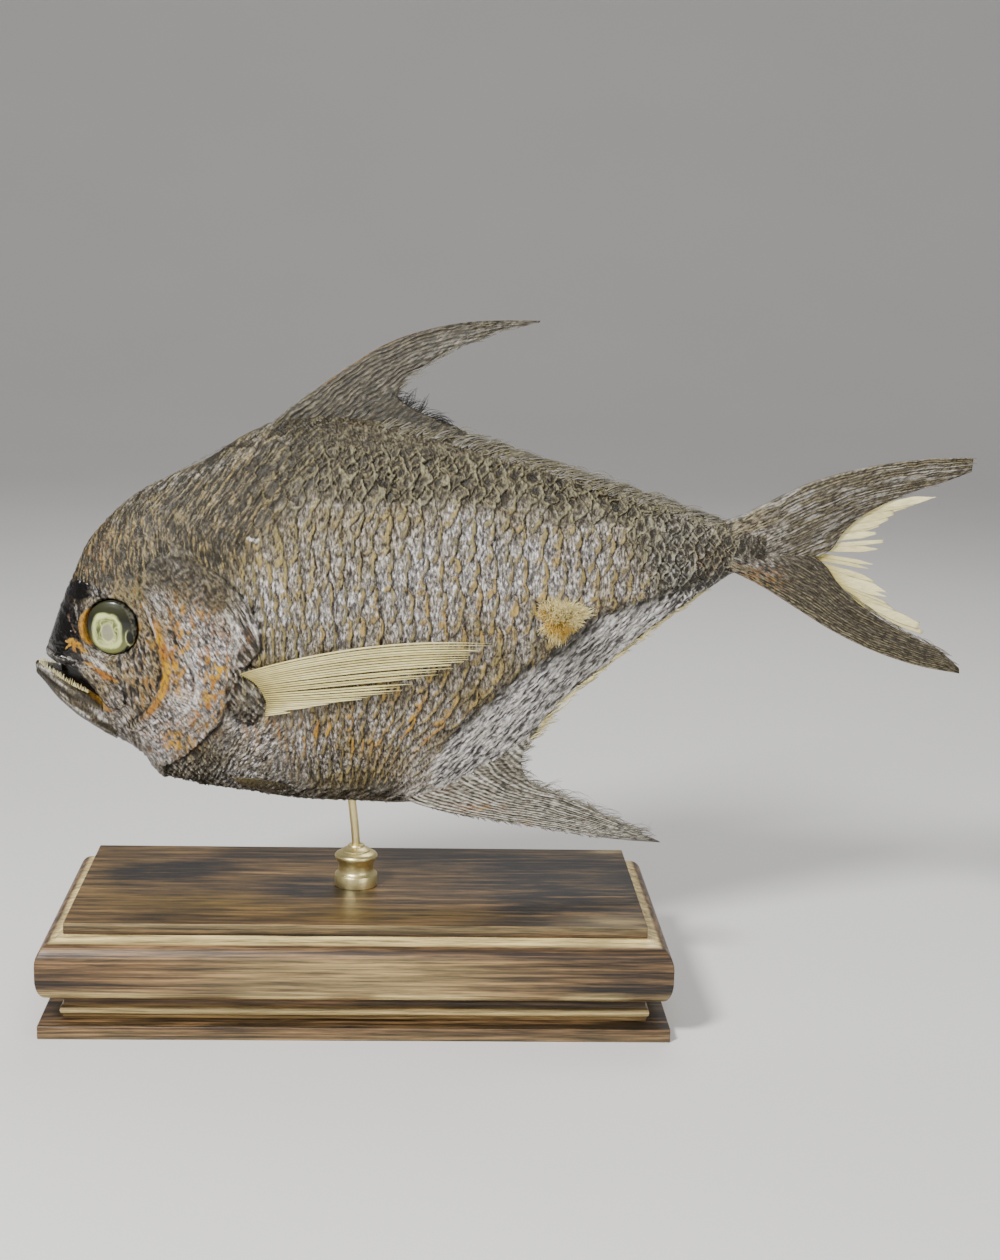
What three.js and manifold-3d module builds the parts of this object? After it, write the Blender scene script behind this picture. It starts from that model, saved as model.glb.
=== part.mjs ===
// A dried pomfret set up on a brass rod, a turned brass collar and a moulded pine base.
// Millimetres. The origin is the centre of the underside of the base. +X runs from the
// mouth to the tail, +Z is up, and the fish's left side faces -Y.

import * as THREE from 'three';
import { mergeVertices } from 'three/addons/utils/BufferGeometryUtils.js';
import Module from 'manifold-3d';

// Base: four tiers, each set out from the panel on top
const panelLength = 370;
const panelDepth = 170;
const footReach = 15;
const footTopHeight = 8.8;
const filletTopHeight = 26;
const ledgeHeight = 61.5;
const panelFootHeight = 64;
const panelTopHeight = 71.7;
const ledgeReach = 5;
const bullnoseReach = 16;
const edgeEase = 0.8;

// Rod and collar
const rodX = -2.8;
const rodRadius = 2.8;
const rodSides = 12;
const fitGap = 0.35;
const rodTopHeight = 158;
const collarRadius = 14.3;
const collarWaist = 11.7;
const collarHeight = 28;

// Body of the fish: the outlines seen from the side, as heights at places along its length
const snoutX = -206;
const tailRootX = 254;
const backLine = [
	[-206, 231], [-203, 240], [-198, 255], [-190, 275], [-180, 298], [-168, 314], [-150, 331],
	[-124, 346], [-103, 356], [-80, 371], [-60, 381], [-30, 386], [10, 384], [50, 377],
	[90, 367], [130, 354], [170, 342], [205, 331], [230, 323], [262, 322],
];
const bellyLine = [
	[-206, 229], [-204, 215], [-200, 205], [-182, 187], [-160, 172], [-143, 162], [-131, 149],
	[-116, 144], [-80, 138], [-40, 132], [0, 130], [25, 129], [50, 132], [80, 147], [110, 168],
	[130, 195], [160, 222], [190, 248], [225, 275], [250, 290], [262, 291],
];
const halfWidthLine = [
	[-206, 2], [-200, 15], [-185, 25], [-160, 32], [-120, 37], [-70, 39], [0, 38], [70, 33],
	[130, 25], [190, 16.5], [235, 11], [262, 9],
];
// Where the widest place lies between belly and back, as a fraction of the height
const widestLine = [
	[-206, 0.5], [-190, 0.42], [-160, 0.42], [-100, 0.46], [0, 0.5], [100, 0.5], [180, 0.52],
	[262, 0.5],
];
// 0.5 is an elliptical flank; more thins it out towards the edge
const upperFullness = [[-206, 0.5], [-100, 0.55], [262, 0.55]];
const lowerFullness = [
	[-206, 0.5], [-40, 0.5], [60, 0.95], [130, 1.15], [200, 0.9], [262, 0.5],
];

// Scales
const rowsPerSide = 17;
const scalePitchLine = [
	[-206, 13], [-150, 16], [-90, 13], [-70, 10.5], [20, 11.2], [120, 12.8], [200, 11.5], [262, 10],
];
const scaleHeightLine = [[-206, 0], [-190, 0.3], [-100, 0.5], [-70, 1.1], [150, 1.2], [262, 0.7]];
const scaleEdge = 0.84;
const scaleSink = 0.35;
const scaleUnevenness = 0.3;
const fringeHeight = 2.2;
const fringeUnevenness = 0.4;
const backFringe = [75, 225];
const bellyFringe = [115, 235];

// Eye: a shallow lens that lies along the slant of the cheek
const eyeCentre = [-159.8, 30.6, 250.5];
const eyeRadius = 16.4;
const eyeHeightRatio = 1.05;
const eyeTurn = 0.2;
const eyeTilt = 0.08;
const lensDepth = 7;
const lensFront = [[16.4, -0.6], [14.2, 0.6], [10.5, 1.7], [5.5, 2.5], [0, 2.8]];

// Tuft of fibre on the left flank
const tuftCentre = [128.5, 260];
const tuftRadii = [20, 14];
const tuftHeight = 9;
const tuftUnevenness = 1.6;

// Colours
const colours = {
	fish: 0x6f6651,
	eye: 0xb7bb91,
	brass: 0xb7a566,
	panel: 0x5d4c3c,
	bullnose: 0x7a5f4b,
	fillet: 0xb9a27a,
	foot: 0x57443a,
};

const wasm = await Module();
wasm.setup();

let seed = 41;

// A number between -1 and 1 from a fixed sequence.
function uneven() {
	seed = (seed * 16807) % 2147483647;
	return (seed / 2147483647) * 2 - 1;
}

// Height at x on the smooth line through the given points, which are sorted by x.
function along(points, x) {
	const last = points.length - 1;
	const at = Math.min(Math.max(x, points[0][0]), points[last][0]);
	let i = 0;
	while (i < last - 1 && at > points[i + 1][0]) i++;

	const rise = (k) => (points[k + 1][1] - points[k][1]) / (points[k + 1][0] - points[k][0]);
	const slope = (k) => {
		if (k === 0) return rise(0);
		if (k === last) return rise(last - 1);
		const before = points[k][0] - points[k - 1][0];
		const after = points[k + 1][0] - points[k][0];
		return (rise(k - 1) * after + rise(k) * before) / (before + after);
	};
	const h = points[i + 1][0] - points[i][0];
	const t = (at - points[i][0]) / h;
	const s = 1 - t;
	return (1 + 2 * t) * s * s * points[i][1] + t * s * s * h * slope(i)
		+ t * t * (3 - 2 * t) * points[i + 1][1] - t * t * s * h * slope(i + 1);
}

// Point at v, from 0 to 1, on the smooth line through the given [x, z] points.
function onLine(points, v) {
	const line = new THREE.SplineCurve(points.map(([x, z]) => new THREE.Vector2(x, z)));
	const p = line.getPoint(Math.min(Math.max(v, 0), 1));
	return [p.x, p.y];
}

function sectionAt(x) {
	const top = along(backLine, x);
	const bottom = along(bellyLine, x);
	return {
		top,
		bottom,
		width: along(halfWidthLine, x),
		middle: bottom + along(widestLine, x) * (top - bottom),
		upper: along(upperFullness, x),
		lower: along(lowerFullness, x),
	};
}

// Half the thickness of the body at a place seen from the side.
function halfThickness(x, z) {
	const s = sectionAt(x);
	const isUpper = z >= s.middle;
	const extent = isUpper ? s.top - s.middle : s.middle - s.bottom;
	const t = Math.min(Math.abs(z - s.middle) / extent, 1);
	return s.width * Math.pow(1 - t * t, isUpper ? s.upper : s.lower);
}

// Points down one flank from back to belly, evenly spaced over the skin, as [half width, height].
function flank(x) {
	const s = sectionAt(x);
	const fine = 240;
	const pts = [];
	const run = [0];
	for (let k = 0; k <= fine; k++) {
		const a = (Math.PI * k) / fine;
		const isUpper = Math.cos(a) >= 0;
		const extent = isUpper ? s.top - s.middle : s.middle - s.bottom;
		const half = s.width * Math.pow(Math.sin(a), 2 * (isUpper ? s.upper : s.lower));
		pts.push([half, s.middle + Math.cos(a) * extent]);
		if (k > 0) {
			const [y0, z0] = pts[k - 1];
			const [y1, z1] = pts[k];
			run.push(run[k - 1] + Math.hypot(y1 - y0, z1 - z0));
		}
	}
	const out = [];
	let k = 0;
	for (let j = 0; j <= rowsPerSide; j++) {
		const want = (run[fine] * j) / rowsPerSide;
		while (k < fine - 1 && run[k + 1] < want) k++;
		const t = (want - run[k]) / (run[k + 1] - run[k]);
		const half = pts[k][0] + t * (pts[k + 1][0] - pts[k][0]);
		const z = pts[k][1] + t * (pts[k + 1][1] - pts[k][1]);
		const isSeam = j === 0 || j === rowsPerSide;
		out.push([isSeam ? 0 : half, z]);
	}
	return out;
}

// A solid from positions and triangles, turned right side out.
function solidFrom(positions, triangles) {
	const geometry = new THREE.BufferGeometry();
	geometry.setAttribute('position', new THREE.Float32BufferAttribute(positions.flat(), 3));
	let volume = 0;
	for (const [a, b, c] of triangles) {
		const p = new THREE.Vector3(...positions[a]);
		const q = new THREE.Vector3(...positions[b]);
		const r = new THREE.Vector3(...positions[c]);
		volume += p.dot(q.cross(r));
	}
	const facing = volume < 0 ? triangles.map(([a, b, c]) => [a, c, b]) : triangles;
	geometry.setIndex(facing.flat());
	return toSolid(geometry);
}

function toSolid(geometry) {
	const bare = geometry.clone();
	bare.deleteAttribute('normal');
	bare.deleteAttribute('uv');
	const merged = mergeVertices(bare, 1e-4);
	return new wasm.Manifold(new wasm.Mesh({
		numProp: 3,
		vertProperties: new Float32Array(merged.attributes.position.array),
		triVerts: new Uint32Array(merged.index.array),
	}));
}

function toGeometry(solid) {
	const mesh = solid.getMesh();
	const positions = new THREE.BufferAttribute(new Float32Array(mesh.vertProperties), 3);
	const geometry = new THREE.BufferGeometry();
	geometry.setAttribute('position', positions);
	geometry.setIndex(new THREE.BufferAttribute(new Uint32Array(mesh.triVerts), 1));
	geometry.computeVertexNormals();
	return geometry;
}

function joined(solids) {
	return solids.reduce((whole, next) => whole.add(next));
}

// A tube of rings with the same number of points each, closed by a fan at both ends.
function loft(rings) {
	const n = rings[0].length;
	const positions = rings.flat();
	const triangles = [];
	for (let i = 0; i + 1 < rings.length; i++) {
		for (let j = 0; j < n; j++) {
			const a = i * n + j;
			const b = i * n + ((j + 1) % n);
			triangles.push([a, b, b + n], [a, b + n, a + n]);
		}
	}
	for (const end of [0, rings.length - 1]) {
		const centre = [0, 1, 2].map((k) => rings[end].reduce((sum, p) => sum + p[k], 0) / n);
		const hub = positions.push(centre) - 1;
		for (let j = 0; j < n; j++) {
			const a = end * n + j;
			const b = end * n + ((j + 1) % n);
			triangles.push(end === 0 ? [hub, b, a] : [hub, a, b]);
		}
	}
	return solidFrom(positions, triangles);
}

// A closed plate between two grids of points that have the same rows and columns.
function plate(front, back) {
	const rows = front.length;
	const cols = front[0].length;
	const positions = [...front.flat(), ...back.flat()];
	const shift = rows * cols;
	const triangles = [];
	const quad = (a, b, c, d) => triangles.push([a, b, c], [a, c, d]);
	for (let i = 0; i + 1 < rows; i++) {
		for (let j = 0; j + 1 < cols; j++) {
			const a = i * cols + j;
			quad(a, a + 1, a + cols + 1, a + cols);
			quad(a + shift, a + shift + cols, a + shift + cols + 1, a + shift + 1);
		}
	}
	for (let j = 0; j + 1 < cols; j++) {
		const end = (rows - 1) * cols + j;
		quad(j + 1, j, j + shift, j + 1 + shift);
		quad(end, end + 1, end + 1 + shift, end + shift);
	}
	for (let i = 0; i + 1 < rows; i++) {
		const a = i * cols;
		const b = a + cols - 1;
		quad(a, a + cols, a + cols + shift, a + shift);
		quad(b + cols, b, b + shift, b + cols + shift);
	}
	return solidFrom(positions, triangles);
}

function mirrored(solid) {
	return solid.mirror([0, 1, 0]);
}

// A pad that lies on the left flank between two edge lines; rise is its height over the skin.
function pad(edgeA, edgeB, across, down, rise, sink = 3) {
	const outer = [];
	const inner = [];
	for (let i = 0; i <= down; i++) {
		const v = i / down;
		const a = onLine(edgeA, v);
		const b = onLine(edgeB, v);
		const outerRow = [];
		const innerRow = [];
		for (let j = 0; j <= across; j++) {
			const u = j / across;
			const x = a[0] + (b[0] - a[0]) * u;
			const z = a[1] + (b[1] - a[1]) * u;
			const skin = halfThickness(x, z);
			outerRow.push([x, -(skin + rise(u, v)), z]);
			innerRow.push([x, -Math.max(skin - sink, 0.3), z]);
		}
		outer.push(outerRow);
		inner.push(innerRow);
	}
	return plate(outer, inner);
}

// A low mound on the left flank, round or oval, with rings of points about its middle.
function mound(x, z, radiusX, radiusZ, sectors, rise) {
	const rings = [1, 0.72, 0.4];
	const outer = [];
	const inner = [];
	for (const r of rings) {
		const ringOut = [];
		const ringIn = [];
		for (let k = 0; k < sectors; k++) {
			const a = (2 * Math.PI * k) / sectors;
			const px = x + Math.cos(a) * radiusX * r;
			const pz = z + Math.sin(a) * radiusZ * r;
			const skin = halfThickness(px, pz);
			ringOut.push([px, -(skin + rise(r, k)), pz]);
			ringIn.push([px, -(skin - 4), pz]);
		}
		outer.push(ringOut);
		inner.push(ringIn);
	}
	return loft([...inner.reverse(), ...outer]);
}

// A thin fin in the middle plane: its rays run from base to tip, thick and thin by turns.
function fin(rays, steps, half) {
	const left = [];
	const right = [];
	rays.forEach((ray, i) => {
		const ridge = i % 2 === 0 ? 1 : 0.5;
		const rowLeft = [];
		const rowRight = [];
		for (let k = 0; k <= steps; k++) {
			const s = k / steps;
			const [x, y, z] = ray(s);
			const t = half(s) * ridge;
			rowLeft.push([x, y - t, z]);
			rowRight.push([x, y + t, z]);
		}
		left.push(rowLeft);
		right.push(rowRight);
	});
	return plate(left, right);
}

// Rays between a front edge line and a rear edge line, both drawn from base to tip.
function raysBetween(front, rear, count) {
	return Array.from({ length: count }, (_, i) => (s) => {
		const a = onLine(front, s);
		const b = onLine(rear, s);
		const u = i / (count - 1);
		return [a[0] + (b[0] - a[0]) * u, 0, a[1] + (b[1] - a[1]) * u];
	});
}

// Places along the body where the rings of the skin stand: two to each scale.
function scaleStations() {
	const starts = [];
	let x = snoutX + 8;
	while (x < tailRootX + 6) {
		starts.push(x);
		x += along(scalePitchLine, x);
	}
	return starts;
}

// Height of the ragged fringe on the back or belly, which stands on the rear edges of scales.
function fringe(edge, x, [from, to]) {
	if (edge <= 0 || x <= from || x >= to) return 0;
	return fringeHeight * (1 + fringeUnevenness * uneven());
}

// Body: staggered rows of overlapping scales, each rising to its rear edge.
function makeBody() {
	const starts = scaleStations();
	const place = (count) => {
		const k = Math.min(Math.floor(count), starts.length - 2);
		return starts[k] + (count - k) * (starts[k + 1] - starts[k]);
	};
	const snoutRings = [0, 1.2, 3.5].map((back) => ({ rowX: () => snoutX + back, edge: 0 }));
	const scaleRings = starts.slice(2).flatMap((_, k) => [0, scaleEdge].map((phase) => ({
		rowX: (row) => place(k + phase + (row % 2 === 1 ? 0.5 : 0)),
		edge: phase === 0 ? -scaleSink : 1,
	})));
	const rootRing = { rowX: () => tailRootX, edge: 0 };
	const stations = [...snoutRings, ...scaleRings, rootRing];
	const rings = stations.map(({ rowX, edge }) => {
		const left = [];
		const right = [];
		for (let j = 0; j <= rowsPerSide; j++) {
			const x = rowX(j);
			const line = flank(x);
			const [half, z] = line[j];
			const before = line[Math.max(j - 1, 0)];
			const after = line[Math.min(j + 1, rowsPerSide)];
			const normal = new THREE.Vector2(before[1] - after[1], after[0] - before[0]).normalize();
			const thinning = Math.min(1, half / 8);
			const relief = edge * along(scaleHeightLine, x) * thinning;
			const outward = (side) => {
				const lift = relief * (1 + scaleUnevenness * uneven());
				return [x, side * (half + normal.x * lift), z + normal.y * lift];
			};
			if (j === 0) {
				left.push([x, 0, z + fringe(edge, x, backFringe)]);
			} else if (j === rowsPerSide) {
				left.push([x, 0, z - fringe(edge, x, bellyFringe)]);
			} else {
				left.push(outward(-1));
				right.unshift(outward(1));
			}
		}
		return [...left, ...right];
	});
	return loft(rings);
}

// Mouth: the wedge between the lips, cut from both sides as far as the tongue.
function makeMouthCut() {
	const opening = new THREE.Shape();
	const outline = [
		[-218, 231], [-204, 226], [-188, 222.5], [-176, 216], [-170.5, 208.5], [-176, 207.5],
		[-186, 211], [-195, 216], [-203, 219], [-218, 223],
	];
	outline.forEach(([x, z], i) => (i === 0 ? opening.moveTo(x, z) : opening.lineTo(x, z)));
	const tongueHalf = 5;
	const cut = new THREE.ExtrudeGeometry(opening, { depth: 40, bevelEnabled: false });
	cut.rotateX(Math.PI / 2);
	cut.translate(0, -tongueHalf, 0);
	const left = toSolid(cut);
	return left.add(mirrored(left));
}

// Lower jaw: juts out past the snout, with a row of small pointed teeth on its rim.
function makeLowerJaw() {
	const jawTop = [[-212.5, 221.5], [-204, 219.5], [-196, 215.5], [-186, 210.5], [-174, 206]];
	const jawBottom = [[-212.5, 214.5], [-204, 206], [-194, 196.5], [-184, 188.5], [-174, 184]];
	const jawHalf = [[-212.5, 1.6], [-208, 6.5], [-200, 14.5], [-190, 20.5], [-174, 24]];
	const rings = [-212.5, -210.5, -207, -202, -196, -188, -180, -174].map((x) => {
		const top = along(jawTop, x);
		const bottom = along(jawBottom, x);
		const half = along(jawHalf, x);
		return Array.from({ length: 12 }, (_, k) => {
			const a = (2 * Math.PI * (k + 0.5)) / 12;
			const y = half * Math.sign(Math.cos(a)) * Math.pow(Math.abs(Math.cos(a)), 0.7);
			const lift = Math.sign(Math.sin(a)) * Math.pow(Math.abs(Math.sin(a)), 0.7);
			return [x, y, (top + bottom) / 2 + lift * (top - bottom) / 2];
		});
	});
	const parts = [loft(rings)];
	const teeth = 9;
	for (let k = 0; k < teeth; k++) {
		const x = -209.5 + (k * 33) / (teeth - 1);
		const height = 4.6 - 0.12 * k;
		const tooth = new THREE.ConeGeometry(1.3, height, 4);
		tooth.rotateX(Math.PI / 2);
		tooth.translate(x, -(along(jawHalf, x) - 1.7), along(jawTop, x) + height / 2 - 2.2);
		const left = toSolid(tooth);
		parts.push(left, mirrored(left));
	}
	return joined(parts);
}

// Head plates that stand proud of the skin: upper jaw bone, cheek ridge and gill cover.
function makeHeadPlates() {
	const ridgeLine = [
		[-137, 269], [-131, 256], [-126, 239], [-123.7, 224], [-126.4, 210], [-131.7, 200],
		[-137, 193], [-149, 183],
	];
	const gillEdge = [
		[-107, 296], [-89.6, 285], [-73.6, 269.5], [-66, 255.5], [-65, 239], [-76, 223],
		[-83, 209], [-88.5, 197], [-92, 187], [-102.5, 176], [-113, 166], [-128, 157.5],
	];
	const ridgeHalf = 4.5;
	const shifted = (line, dx) => line.map(([x, z]) => [x + dx, z]);
	const gillCover = pad(ridgeLine, gillEdge, 5, 11, (u) => 0.4 + 1.9 * u);
	const ridge = pad(shifted(ridgeLine, -ridgeHalf), shifted(ridgeLine, ridgeHalf), 2, 9,
		(u) => 0.1 + 2.4 * Math.sin(Math.PI * u));
	const upperJawTop = [
		[-188, 228], [-181.9, 227], [-175.5, 225], [-165.3, 220.4], [-155.3, 213.8], [-151, 208],
		[-151.5, 203],
	];
	const upperJawBottom = [
		[-186, 225], [-180, 221.5], [-174.3, 214.3], [-169.3, 208], [-165.4, 199], [-160, 196],
		[-154.5, 197.5],
	];
	const upperJaw = pad(upperJawTop, upperJawBottom, 4, 7,
		(u) => 0.3 + 2.3 * Math.sqrt(Math.sin(Math.PI * u) + 1e-6));
	return [gillCover, ridge, upperJaw].flatMap((s) => [s, mirrored(s)]);
}

// Pectoral fins: a long blade of rays from a fleshy root behind the gill cover.
function makePectoralFins() {
	const root = mound(-70, 210, 12, 17, 12, (r) => 4.6 * (1 - r * r) - 0.4);
	const rootTop = [-76, 224];
	const rootBottom = [-61, 199];
	const tips = [
		[86, 245], [80, 241.5], [70, 236], [56, 228], [42, 221], [27, 214.5], [10, 209.5],
		[-8, 206.5], [-28, 203], [-45, 199],
	];
	const rays = tips.map((tip, i) => {
		const u = i / (tips.length - 1);
		const baseX = rootTop[0] + (rootBottom[0] - rootTop[0]) * u;
		const baseZ = rootTop[1] + (rootBottom[1] - rootTop[1]) * u;
		const arch = 7 * (1 - u);
		return (s) => {
			const x = baseX + (tip[0] - baseX) * s;
			const z = baseZ + (tip[1] - baseZ) * s + arch * 4 * s * (1 - s);
			const clearance = 2.6 + 3.6 * Math.sin(Math.PI * 0.8 * s);
			return [x, -(halfThickness(x, z) + clearance), z];
		};
	});
	const blade = fin(rays, 7, (s) => 1.5 - 0.9 * s);
	return [root, blade].flatMap((s) => [s, mirrored(s)]);
}

// Pelvic fins: small leaves folded against the belly.
function makePelvicFins() {
	const upperEdge = [[-82, 148.5], [-72, 152], [-62, 150], [-51, 146.5], [-39, 142]];
	const lowerEdge = [[-79, 145.5], [-69.4, 142.5], [-58, 141], [-47, 140.5], [-38, 140.5]];
	const leaf = pad(upperEdge, lowerEdge, 2, 4, (u) => 0.4 + 1.5 * Math.sin(Math.PI * u), 2);
	return [leaf, mirrored(leaf)];
}

// Back fin: a tall swept lobe whose rear edge is torn back to a low fringe.
function makeDorsalFin() {
	const front = [
		[-70, 371], [-54, 386], [-32.3, 402], [-16.4, 413.5], [-6.2, 420.5], [3.9, 427.5],
		[18.5, 435], [40.8, 442.5], [65.6, 447.5], [90, 449], [112, 449.5],
	];
	const rear = [
		[76, 362], [56, 379], [34, 391], [18, 398], [23.5, 404], [25, 410.5], [38, 419.5],
		[53.8, 430], [68.5, 436], [87.5, 444], [111, 448],
	];
	return fin(raysBetween(front, rear, 7), 11, (s) => 5 - 4.2 * Math.sqrt(s));
}

// Belly fin: a long lobe that sweeps back below the body.
function makeAnalFin() {
	const front = [
		[20, 137], [36, 129], [53, 124], [79.7, 119], [103, 115.5], [126.8, 112], [160.7, 106],
		[187.8, 103.5], [202, 103],
	];
	const rear = [
		[118, 180], [108.5, 167], [106.5, 156], [113, 143], [135, 134], [156, 124.5], [174, 115.5],
		[190, 108.5], [201, 104],
	];
	return fin(raysBetween(front, rear, 7), 9, (s) => 5.5 - 4.6 * Math.sqrt(s));
}

// Tail: two dark lobes with torn pale strips between them, as one fan of rays.
function makeTailFin() {
	const tips = [
		[397.4, 366], [398.6, 357], [389.3, 348.2], [361.6, 345], [372.6, 339.3], [357, 333],
		[349.3, 329], [345, 323.6], [341.4, 317.6], [339.7, 311.5], [338.2, 303.5], [301, 302.3],
		[315, 298], [337.5, 292.2], [307, 290.4], [338, 282.8], [349.3, 271.6], [319.7, 275.8],
		[350.4, 264.2], [367, 255.7], [373.5, 248.3], [340.7, 258.6], [360, 248], [382.9, 236.9],
		[390.1, 230.9], [397.4, 221.6],
	];
	const rootX = 240;
	const rootTop = 322.5;
	const rootBottom = 289;
	const bulgeTop = 12;
	const bulgeBottom = -7;
	const rays = tips.map(([tipX, tipZ], i) => {
		const u = i / (tips.length - 1);
		const z0 = rootTop + (rootBottom - rootTop) * u;
		const bulge = bulgeTop + (bulgeBottom - bulgeTop) * u;
		return (s) => [rootX + (tipX - rootX) * s, 0, z0 + (tipZ - z0) * s + bulge * 4 * s * (1 - s)];
	});
	return fin(rays, 5, (s) => 5 * Math.pow(1 - s, 2) + 0.9);
}

// A tuft of dried fibre that stands out of the left flank.
function makeTuft() {
	const sectors = 16;
	const [x, z] = tuftCentre;
	const [radiusX, radiusZ] = tuftRadii;
	return mound(x, z, radiusX, radiusZ, sectors,
		(r) => tuftHeight * (1 - r) + tuftUnevenness * uneven());
}

// Eye lens, or its socket when it is grown and open to the front.
function eyeGeometry(grow, frontOpen) {
	const rim = eyeRadius + grow;
	const front = frontOpen
		? [[rim, 0], [rim + 1.5, 2], [rim + 1.5, 12], [0, 12]]
		: lensFront;
	const back = -lensDepth - grow;
	const outline = [[0, back], [rim - 2, back], [rim, -lensDepth + 2.5], ...front];
	const sectors = 20;
	const lens = new THREE.LatheGeometry(outline.map(([r, h]) => new THREE.Vector2(r, h)), sectors);
	lens.rotateX(Math.PI);
	lens.scale(1, 1, eyeHeightRatio);
	lens.rotateX(eyeTilt);
	lens.rotateZ(-eyeTurn);
	lens.translate(eyeCentre[0], -eyeCentre[1], eyeCentre[2]);
	return lens;
}

// Rod: slightly bent just above the collar.
function rodGeometry(radius, extra) {
	const path = new THREE.CatmullRomCurve3([
		[rodX, panelTopHeight + 0.3], [rodX, 95], [rodX - 0.9, 110], [rodX - 3.2, 130],
		[rodX - 6.2, rodTopHeight + extra],
	].map(([x, z]) => new THREE.Vector3(x, 0, z)));
	const round = new THREE.Shape();
	for (let k = 0; k < rodSides; k++) {
		const a = (2 * Math.PI * k) / rodSides;
		const x = radius * Math.cos(a);
		const y = radius * Math.sin(a);
		if (k === 0) round.moveTo(x, y);
		else round.lineTo(x, y);
	}
	round.closePath();
	return new THREE.ExtrudeGeometry(round, { steps: 9, bevelEnabled: false, extrudePath: path });
}

function makeFish() {
	const eyeHole = toSolid(eyeGeometry(fitGap, true));
	const head = makeBody().subtract(makeMouthCut());
	const whole = joined([
		head, makeLowerJaw(), ...makeHeadPlates(), ...makePectoralFins(), ...makePelvicFins(),
		makeDorsalFin(), makeAnalFin(), makeTailFin(), makeTuft(),
	]);
	const rodHole = toSolid(rodGeometry(rodRadius + fitGap, 0.4));
	return whole.subtract(eyeHole).subtract(mirrored(eyeHole)).subtract(rodHole);
}

// Collar: a turned drum, a waist, a bead and a low dome round the rod.
function collarGeometry() {
	const bore = rodRadius + fitGap + 0.15;
	const outline = [
		[bore, 0], [collarRadius, 0], [collarRadius, 8.1], [collarWaist + 0.9, 9.2],
		[collarWaist, 10.8], [collarWaist, 14.5], [collarWaist + 0.8, 16.4],
		[collarRadius - 0.5, 18.6], [collarRadius, 20.3], [collarRadius - 0.5, 21.8], [9.8, 23.6],
		[9.4, 24.6], [5.6, 26.4], [5.2, collarHeight - 0.4], [bore, collarHeight], [bore, 0],
	].map(([r, z]) => new THREE.Vector2(r, z));
	const collar = new THREE.LatheGeometry(outline, 24);
	collar.rotateX(Math.PI / 2);
	collar.translate(rodX, 0, panelTopHeight);
	return collar;
}

// A rectangular board whose edge follows a profile of [reach past the panel, height] points.
function mouldedBoard(profile) {
	return loft(profile.map(([reach, z]) => {
		const x = panelLength / 2 + reach;
		const y = panelDepth / 2 + reach;
		return [[-x, -y, z], [x, -y, z], [x, y, z], [-x, y, z]];
	}));
}

// Bullnose: curls out from under, runs up a flat face and turns in over the top to the ledge.
function bullnoseProfile() {
	const faceBottom = 40;
	const faceTop = 48;
	const curl = 6;
	const turns = 5;
	const profile = [];
	for (let k = 0; k <= turns; k++) {
		const a = (Math.PI / 2) * (1 - k / turns);
		const drop = (faceBottom - filletTopHeight) * Math.sin(a);
		profile.push([bullnoseReach - curl + curl * Math.cos(a), faceBottom - drop]);
	}
	for (let k = 0; k <= turns; k++) {
		const a = (Math.PI / 2) * (k / turns);
		const reach = ledgeReach + (bullnoseReach - ledgeReach) * Math.cos(a);
		profile.push([reach, faceTop + (ledgeHeight - faceTop) * Math.sin(a)]);
	}
	profile.push([0, panelFootHeight]);
	return profile;
}

// Fillet: a bead above the foot and a cove below the bullnose.
const filletProfile = [
	[1, footTopHeight], [1, 11.6], [2.2, 12.4], [2.6, 14.5], [2.2, 16.6], [0.6, 17.6], [0, 20],
	[1, 23.5], [4, filletTopHeight],
];
const footProfile = [
	[footReach, 0], [footReach, footTopHeight - edgeEase], [footReach - edgeEase, footTopHeight],
];
const panelProfile = [
	[0, panelFootHeight], [0, panelTopHeight - edgeEase], [-edgeEase, panelTopHeight],
];

function finish(color, roughness, metalness) {
	return new THREE.MeshStandardMaterial({ color, roughness, metalness });
}

const specimen = new THREE.Group();

function addPiece(name, geometry, material) {
	const mesh = new THREE.Mesh(geometry, material);
	mesh.name = name;
	specimen.add(mesh);
}

const boards = [
	['base_foot', footProfile, colours.foot],
	['base_fillet', filletProfile, colours.fillet],
	['base_bullnose', bullnoseProfile(), colours.bullnose],
	['base_panel', panelProfile, colours.panel],
];
for (const [name, profile, colour] of boards) {
	addPiece(name, toGeometry(mouldedBoard(profile)), finish(colour, 0.7, 0));
}

addPiece('collar', toGeometry(toSolid(collarGeometry())), finish(colours.brass, 0.35, 1));
addPiece('rod', toGeometry(toSolid(rodGeometry(rodRadius, 0))), finish(colours.brass, 0.4, 1));
addPiece('fish', toGeometry(makeFish()), finish(colours.fish, 0.6, 0));

const eye = toSolid(eyeGeometry(0, false));
addPiece('eye_left', toGeometry(eye), finish(colours.eye, 0.2, 0));
addPiece('eye_right', toGeometry(mirrored(eye)), finish(colours.eye, 0.2, 0));

export default specimen;
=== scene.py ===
"""A dried, varnished pomfret on a brass rod, a turned brass collar and a moulded pine base.

Sizes in this file are in millimetres, and become metres where a mesh is made. The origin is the
centre of the underside of the base, +X runs from the mouth to the tail, +Z is up, and the fish's
left side faces -Y. The fish is a body too uneven for edit-mode tools: its skin, fins and fibres are
computed from outlines, as grids of points. The stand is modelled from primitives.
"""

import math
from functools import partial

import bpy
import numpy as np
from bpy.props import FloatProperty, FloatVectorProperty, IntProperty, PointerProperty
from mathutils import Matrix, Vector


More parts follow.
